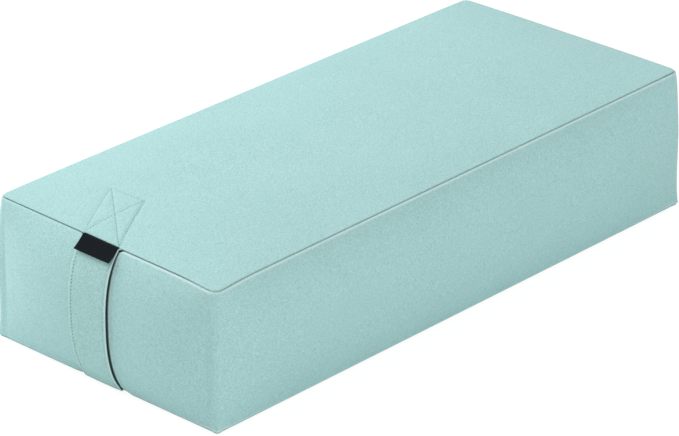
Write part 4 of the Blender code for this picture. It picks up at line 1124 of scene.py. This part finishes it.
def placket_rows():
    """The upper placket's rows of points from end to end, each from its seam down round the fold and up."""
    fold_height = MID_HEIGHT + ZIP_CHANNEL / 2 + FOLD_RADIUS
    turns = np.linspace(0, -math.pi, FOLD_TURNS)
    half = ZIP_BAY / 2 - PLACKET_GAP - SEAM_LIP_RADIUS
    rows = []
    for x in np.linspace(half, -half, round(2 * half / STATION_SPACING)):
        slope = float(top_rim_slope(x, HALF_WIDTH, 0, 1))
        out, height = side_section(ZIP_SIDE_BULGE, slope, 0, 0)
        above = height > fold_height
        fold_out = float(np.interp(fold_height, height[::-1], out[::-1])) - FOLD_RADIUS
        fold_out += PLACKET_RIPPLE * math.sin(2 * math.pi * x / PLACKET_RIPPLE_LENGTH)
        out = np.concatenate((out[above], fold_out + FOLD_RADIUS * np.cos(turns), [fold_out - FOLD_RADIUS]))
        fold = fold_height + FOLD_RADIUS * np.sin(turns)
        height = np.concatenate((height[above], fold, [fold_height + ZIP_HEM]))
        rows.append(np.stack((0 * out + x, HALF_WIDTH + out, height), axis=-1))
    return rolled_in(rows[0], 1)[::-1] + rows + rolled_in(rows[-1], -1)


def placket_stitching(side):
    """Places and normals of the row of topstitching beside a placket's fold."""
    half = ZIP_BAY / 2 - SEAM_ALLOWANCE
    x = np.linspace(-half, half, round(2 * half / STATION_SPACING))
    rise = ZIP_CHANNEL / 2 + PLACKET_STITCH_INSET
    out = float(stand_out(rise / HALF_HEIGHT, ZIP_SIDE_BULGE))
    places = np.stack((x, 0 * x + HALF_WIDTH + out, 0 * x + MID_HEIGHT + side * rise), axis=-1)
    return places, np.tile((0.0, 1.0, 0.0), (len(x), 1))


placket_points = np.array(placket_rows())
placket_from_groove = np.hypot(placket_points[..., 1] - HALF_WIDTH, placket_points[..., 2] - TOP_SEAM_HEIGHT)
plackets = []
for hand, side in (("upper", 1), ("lower", -1)):
    points = placket_points.copy()
    if side < 0:
        points[..., 2] = 2 * MID_HEIGHT - points[..., 2]
        points = points[::-1]
    placket = piece_from(f"zip_placket_{hand}_cloth", points)
    mark_painted_seam_light(placket, placket_from_groove[::side], 1)
    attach(placket, "root")
    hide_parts(f"zip_placket_{hand}")
    plackets.append(placket)
    stitching_from(f"zip_placket_{hand}_stitching", [placket_stitching(side)])
dress(cover_cloth, plackets)


# Zip. Each half is a woven polyester tape with a coil of nylon monofilament sewn along its inner edge; the
# metal slider, its pull tab and the stops keep the solids of the model, in satin nickel.
TAPE_LENGTH = 0.592
TAPE_WIDTH = 0.016
TAPE_THICKNESS = 0.0006
TAPE_SETBACK = 0.00378
TAPE_SPLIT = 0.0006
TAPE_SPACING = 0.004
TAPE_RIB = 0.00008
COIL_LENGTH = 0.566
COIL_WIDTH = 0.0026
COIL_HEIGHT = 0.0015
COIL_HEAD_GAP = 0.0004
COIL_PITCH = 0.0014
COIL_WIRE = 0.0006
COIL_TURN_POINTS = 10
COIL_SIDES = 6
COIL_STAND = 0.0003
SELVEDGE_TURNS = 6
TAPE_LINES = 12
TAPE_COLOUR = (0.400, 0.640, 0.620, 1)
TAPE_DEEP = (0.240, 0.430, 0.415, 1)
TAPE_THREAD_COUNT = 6500
NYLON_COLOUR = (0.430, 0.680, 0.660, 1)
NYLON_DEEP = (0.330, 0.560, 0.545, 1)
NYLON_MARK_SCALE = 700
NYLON_MARK_DEPTH = 0.00002
NICKEL_COLOUR = (0.640, 0.625, 0.600, 1)
NICKEL_DEEP = (0.520, 0.505, 0.480, 1)
NICKEL_MARK_SCALE = 1400
NICKEL_MARK_DEPTH = 0.00001
METAL_PARTS = ("zip_slider", "zip_puller", "zip_top_stop_upper", "zip_top_stop_lower", "zip_bottom_stop")
TAPE_FACE = ZIP_FACE - TAPE_SETBACK


def tape_points(side):
    """A tape as a tube of rows: flat, with round selvedges and a rib woven along each."""
    half = TAPE_THICKNESS / 2
    turns = np.linspace(0, math.pi, SELVEDGE_TURNS)[1:-1]
    low, high = TAPE_SPLIT + half, TAPE_SPLIT + TAPE_WIDTH - half
    across = np.linspace(low, high, TAPE_LINES)
    rib = sum(TAPE_RIB * np.exp(-(((across - edge) / TAPE_THICKNESS) ** 2)) for edge in (low, high))
    rise = np.concatenate((across, high + half * np.sin(turns), across[::-1], low - half * np.sin(turns)))
    out = np.concatenate((half + rib, half * np.cos(turns), -half - rib[::-1], -half * np.cos(turns)))
    x = np.linspace(-TAPE_LENGTH / 2, TAPE_LENGTH / 2, round(TAPE_LENGTH / TAPE_SPACING))[:, None]
    y = TAPE_FACE - half + out[None, :] + 0 * x
    return np.stack((x + 0 * y, y, MID_HEIGHT + side * rise[None, :] + 0 * x), axis=-1)


def coil_points(side):
    """A coil as a tube of rows: an oval helix of monofilament."""
    turns = COIL_LENGTH / COIL_PITCH
    turn = np.linspace(0, 2 * math.pi * turns, round(turns * COIL_TURN_POINTS))
    half_width, half_height = (COIL_WIDTH - COIL_WIRE) / 2, (COIL_HEIGHT - COIL_WIRE) / 2
    middle = COIL_HEAD_GAP + COIL_WIDTH / 2
    x = (turn / turn[-1] - 1 / 2) * (COIL_LENGTH - COIL_WIRE)
    y = TAPE_FACE + COIL_STAND + COIL_HEIGHT / 2 + half_height * np.cos(turn)
    rise = middle + half_width * np.sin(turn)
    line = np.stack((x, y, rise), axis=-1)
    outward = np.stack((0 * turn, np.cos(turn), np.sin(turn)), axis=-1)
    beside = np.cross(directions(line), outward)
    ring = np.linspace(0, 2 * math.pi, COIL_SIDES, endpoint=False)[None, :, None]
    wire = np.cos(ring) * outward[:, None, :] + np.sin(ring) * beside[:, None, :]
    points = line[:, None, :] + COIL_WIRE / 2 * wire
    points[..., 2] = MID_HEIGHT + side * points[..., 2]
    return points


tapes, coils = [], []
for hand, side in (("upper", 1), ("lower", -1)):
    tape = piece_from(f"zip_tape_{hand}_weave", tape_points(side)[::side], wrap=True)
    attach(tape, "root")
    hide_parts(f"zip_tape_{hand}")
    tapes.append(tape)
    coil = piece_from(f"zip_coil_{hand}_nylon", coil_points(side)[::side], wrap=True)
    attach(coil, "root")
    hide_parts(f"zip_coil_{hand}")
    coils.append(coil)
tape_weave = woven_material(
    "aqua_tape_weave",
    TAPE_COLOUR,
    TAPE_DEEP,
    TAPE_THREAD_COUNT,
    {"Roughness": 0.85, "Specular IOR Level": 0.2},
)
dress(tape_weave, tapes)
nylon = fibre_material(
    "nylon_monofilament",
    NYLON_COLOUR,
    NYLON_DEEP,
    NYLON_MARK_SCALE,
    0,
    NYLON_MARK_DEPTH,
    {"Roughness": 0.38, "IOR": 1.53},
)
dress(nylon, coils)
nickel = fibre_material(
    "satin_nickel",
    NICKEL_COLOUR,
    NICKEL_DEEP,
    NICKEL_MARK_SCALE,
    1,
    NICKEL_MARK_DEPTH,
    {"Roughness": 0.36, "Metallic": 1},
)
for part in METAL_PARTS:
    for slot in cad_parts[part].material_slots:
        slot.material = nickel


# Filling. A cotton liner holds a foam core with polyester wadding wrapped round it and laid on its ends.
# None of it shows while the cover is closed, but it keeps the swollen form of the model's filling.
FILL_SIDE = 0.0026
FILL_ZIP_SIDE = 0.0168
FILL_UNDER = 0.0059
FILL_EDGE_RADIUS = 0.032
LINER = 0.0006
LAYER_CLEARANCE = 0.0012
BATTING = 0.012
CORE_CLEARANCE = 0.0014
LINER_CAP_DEPTH = 0.038
BATTING_CAP_DEPTH = 0.045
LAYER_GAP = 0.0003
FILL_SPACING = 0.011
POLE_SHARE = 0.02
COTTON_COLOUR = (0.800, 0.780, 0.730, 1)
COTTON_DEEP = (0.640, 0.615, 0.560, 1)
COTTON_THREAD_COUNT = 4200
WADDING_COLOUR = (0.860, 0.860, 0.850, 1)
WADDING_DEEP = (0.620, 0.620, 0.610, 1)
WADDING_SCALE = 160
WADDING_BEND = 2.5
WADDING_DEPTH = 0.0020
FOAM_COLOUR = (0.780, 0.735, 0.560, 1)
FOAM_DEEP = (0.500, 0.455, 0.310, 1)
FOAM_CELL_SCALE = 950
FOAM_CELL_DEPTH = 0.0005
FILL_LOW = np.array((FILL_SIDE - LENGTH / 2, FILL_SIDE - WIDTH / 2, FILL_UNDER))
FILL_HIGH = np.array((LENGTH / 2 - FILL_SIDE, ZIP_FACE - FILL_ZIP_SIDE, TOP_SEAM_HEIGHT - FILL_UNDER))


def swollen(points):
    """Points of the flat-sided filling moved out with the bulging faces and the crown."""
    x, y, z = points[..., 0], points[..., 1], points[..., 2]
    swell = 1 - np.minimum(abs((z - MID_HEIGHT) / HALF_HEIGHT), 1) ** BULGE_POWER
    end = bulge_at(x, y, 1, 0) * ease(2 * abs(x) / FILL_HIGH[0]) * swell
    beside = bulge_at(x, y, 0, np.sign(y)) * ease(2 * abs(y) / FILL_HIGH[1]) * swell
    rise = (z - FILL_LOW[2]) / (FILL_HIGH[2] - FILL_LOW[2])
    crown = (top_height(x, y) - TOP_SEAM_HEIGHT) * rise
    return np.stack((x + np.sign(x) * end, y + np.sign(y) * beside, z + crown), axis=-1)


def filling_rings(inset, low, high):
    """Rings round the filling at this depth, from end to end: each end is closed, or cut at a place."""
    corner_low, corner_high = FILL_LOW + inset, FILL_HIGH - inset
    radius = FILL_EDGE_RADIUS - inset
    core_low, core_high = FILL_LOW + FILL_EDGE_RADIUS, FILL_HIGH - FILL_EDGE_RADIUS
    middle, half = (corner_low + corner_high) / 2, (corner_high - corner_low) / 2
    sides = [round((FILL_HIGH - FILL_LOW)[axis] / FILL_SPACING) for axis in (1, 2)]
    y = np.linspace(-1, 1, sides[0] + 1)
    z = np.linspace(-1, 1, sides[1] + 1)
    loop_y = np.concatenate((y, 0 * z[1:-1] + 1, y[::-1], 0 * z[1:-1] - 1))
    loop_z = np.concatenate((0 * y - 1, z[1:-1], 0 * y + 1, z[::-1][1:-1]))
    start = corner_low[0] if low is None else low
    end = corner_high[0] if high is None else high
    places = [(x, 1.0) for x in np.linspace(start, end, max(round((end - start) / FILL_SPACING), 2))]
    shares = np.linspace(POLE_SHARE, 1, round(half[2] / FILL_SPACING))[:-1]
    if low is None:
        places = [(start, share) for share in shares] + places
    if high is None:
        places = places + [(end, share) for share in shares[::-1]]
    rings = []
    for x, share in places:
        ring_y, ring_z = middle[1] + half[1] * loop_y * share, middle[2] + half[2] * loop_z * share
        ring = np.stack((0 * loop_y + x, ring_y, ring_z), axis=-1)
        core = np.clip(ring, core_low, core_high)
        outward = ring - core
        rings.append(core + radius * outward / np.linalg.norm(outward, axis=1)[:, None])
    return np.array(rings)


def filling_layer(name, inset, low, high, thickness):
    """A layer of the filling between two places along it, as a wall of this thickness."""
    outer = filling_rings(inset, low, high)
    inner = filling_rings(inset + thickness, low, high)
    if low is None:
        rows, ring = np.concatenate((outer, inner[::-1])), False
    elif high is None:
        rows, ring = np.concatenate((outer[::-1], inner)), False
        rows = rows[:, ::-1]
    else:
        rows, ring = np.concatenate((outer, inner[::-1])), True
    return piece_from(name, swollen(rows), wrap=True, ring=ring)


liner_cut = FILL_HIGH[0] - LINER_CAP_DEPTH
batting_inset = LINER + LAYER_CLEARANCE
batting_cut = FILL_HIGH[0] - BATTING_CAP_DEPTH
liners = [
    filling_layer("liner_sleeve_cotton", 0, None, liner_cut, LINER),
    filling_layer("liner_closing_panel_cotton", 0, liner_cut + LAYER_GAP, None, LINER),
]
battings = [
    filling_layer("batting_wrap_wadding", batting_inset, -batting_cut, batting_cut, BATTING),
    filling_layer("batting_near_end_wadding", batting_inset, None, -batting_cut - LAYER_GAP, BATTING),
    filling_layer("batting_far_end_wadding", batting_inset, batting_cut + LAYER_GAP, None, BATTING),
]
foam_inset = batting_inset + BATTING + CORE_CLEARANCE
foam = piece_from("foam_core_block", swollen(filling_rings(foam_inset, None, None)), wrap=True)
for piece, node, slot in (
    (liners[0], "liner_sleeve", "liner"),
    (liners[1], "liner_closing_panel", "liner"),
    (battings[0], "batting_wrap", "batting"),
    (battings[1], "batting_near_end", "batting"),
    (battings[2], "batting_far_end", "batting"),
    (foam, "foam_core", "foam"),
):
    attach(piece, "root")
    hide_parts(node)


def make_cell_group():
    """Open cells, as on the cut face of foam."""
    group, given, place = start_group("open_cells")
    cells = add_node(group, "ShaderNodeTexVoronoi", {"Vector": place, "Scale": FOAM_CELL_SCALE})
    return end_group(group, given, cells.outputs["Distance"], low=0, high=0.7)


cotton = woven_material(
    "unbleached_cotton",
    COTTON_COLOUR,
    COTTON_DEEP,
    COTTON_THREAD_COUNT,
    {"Roughness": 0.92, "Specular IOR Level": 0.15},
)
dress(cotton, liners)
wadding = fibre_material(
    "white_wadding",
    WADDING_COLOUR,
    WADDING_DEEP,
    WADDING_SCALE,
    WADDING_BEND,
    WADDING_DEPTH,
    {"Roughness": 1, "Specular IOR Level": 0.25},
)
dress(wadding, battings)
cut_foam = surface_material(
    "cut_foam",
    make_cell_group(),
    {"Colour": FOAM_COLOUR, "Deep Colour": FOAM_DEEP},
    FOAM_CELL_DEPTH,
    {"Roughness": 1, "Specular IOR Level": 0.1},
)
dress(cut_foam, [foam])


# Floor and light. A plain white studio floor under an even white sky. A broad soft light stands behind the
# zip's side, a weaker one lights the long side in front, and a small one the near end's far corner.
FLOOR_SIZE = 6
FLOOR_DROP = 0.0002
KEY_PLACE = (-0.55, 1.45, 1.8)
KEY_SIZE = 1.4
KEY_POWER = 33
FILL_PLACE = (-0.3, -2.5, 0.46)
FILL_SIZE = 0.9
FILL_POWER = 13
CORNER_LIGHT_PLACE = (-0.9, 0.75, 0.5)
CORNER_LIGHT_SIZE = 0.6
CORNER_LIGHT_POWER = 0.75
SKY_LIGHT = 0.55
FLOOR_BOUNCE = 0.92
FLOOR_SHADE = 0.16
FLOOR_GLOW = 0.92
WHITE = (1, 1, 1, 1)


def aimed_light(name, place, size, power, aim):
    """A square soft light that looks at a point of the bolster."""
    data = bpy.data.lights.new(name, "AREA")
    data.size = size
    data.energy = power
    light = bpy.data.objects.new(name, data)
    light.location = place
    light.rotation_euler = (Vector(aim) - Vector(place)).to_track_quat("-Z", "Y").to_euler()
    bpy.context.scene.collection.objects.link(light)


def seen_directly(tree):
    """1 where a surface is seen, straight, in a reflection or through glass, and 0 for the light it gives."""
    path = add_node(tree, "ShaderNodeLightPath").outputs
    seen = worked(tree, "MAXIMUM", path["Is Camera Ray"], path["Is Glossy Ray"])
    return worked(tree, "MAXIMUM", seen, path["Is Transmission Ray"])


reach = FLOOR_SIZE / 2
floor_corners = [(x * reach, y * reach, -FLOOR_DROP) for x, y in ((-1, -1), (1, -1), (1, 1), (-1, 1))]
floor = shape_from("studio_floor", floor_corners, [(0, 1, 2, 3)])
floor_white = bpy.data.materials.new("studio_white")
floor_white.use_nodes = True
tree = floor_white.node_tree
tree.nodes.remove(tree.nodes["Principled BSDF"])
dull = add_node(tree, "ShaderNodeBsdfDiffuse", {"Color": (FLOOR_BOUNCE, FLOOR_BOUNCE, FLOOR_BOUNCE, 1)})
shade = add_node(tree, "ShaderNodeBsdfDiffuse", {"Color": (FLOOR_SHADE, FLOOR_SHADE, FLOOR_SHADE, 1)})
glow = add_node(tree, "ShaderNodeEmission", {"Color": WHITE, "Strength": FLOOR_GLOW})
shown = add_node(tree, "ShaderNodeAddShader", {0: shade.outputs[0], 1: glow.outputs[0]})
sockets = {0: seen_directly(tree), 1: dull.outputs[0], 2: shown.outputs[0]}
mixed = add_node(tree, "ShaderNodeMixShader", sockets)
tree.links.new(mixed.outputs[0], tree.nodes["Material Output"].inputs["Surface"])
dress(floor_white, [floor])

bolster_middle, near_end_middle = (0, 0, MID_HEIGHT), (-HALF_LENGTH, 0, MID_HEIGHT)
aimed_light("key", KEY_PLACE, KEY_SIZE, KEY_POWER, bolster_middle)
aimed_light("fill", FILL_PLACE, FILL_SIZE, FILL_POWER, bolster_middle)
aimed_light("corner", CORNER_LIGHT_PLACE, CORNER_LIGHT_SIZE, CORNER_LIGHT_POWER, near_end_middle)

world = bpy.data.worlds.new("studio")
bpy.context.scene.world = world
world.use_nodes = True
tree = world.node_tree
white = add_node(tree, "ShaderNodeBackground", {"Color": WHITE, "Strength": 1})
sky = add_node(tree, "ShaderNodeBackground", {"Color": WHITE, "Strength": SKY_LIGHT})
sockets = {0: seen_directly(tree), 1: sky.outputs[0], 2: white.outputs[0]}
mixed = add_node(tree, "ShaderNodeMixShader", sockets)
tree.links.new(mixed.outputs[0], tree.nodes["World Output"].inputs["Surface"])
bpy.context.scene.view_settings.view_transform = "Standard"


# Camera. The bolster is seen from past its labelled end and a little above, through a long lens,
# so that its top, the strap on its near end and one long side all show.
CAMERA_PLACE = (-2.68110, -2.46284, 1.78887)
CAMERA_TURN_DEGREES = (64.5879, -0.0867, -47.2109)
CAMERA_LENS = 205.69
CAMERA_SENSOR = 36

lens = bpy.data.cameras.new("camera")
lens.lens = CAMERA_LENS
lens.sensor_width = CAMERA_SENSOR
camera = bpy.data.objects.new("camera", lens)
camera.location = CAMERA_PLACE
camera.rotation_euler = [math.radians(turn) for turn in CAMERA_TURN_DEGREES]
bpy.context.scene.collection.objects.link(camera)
bpy.context.scene.camera = camera
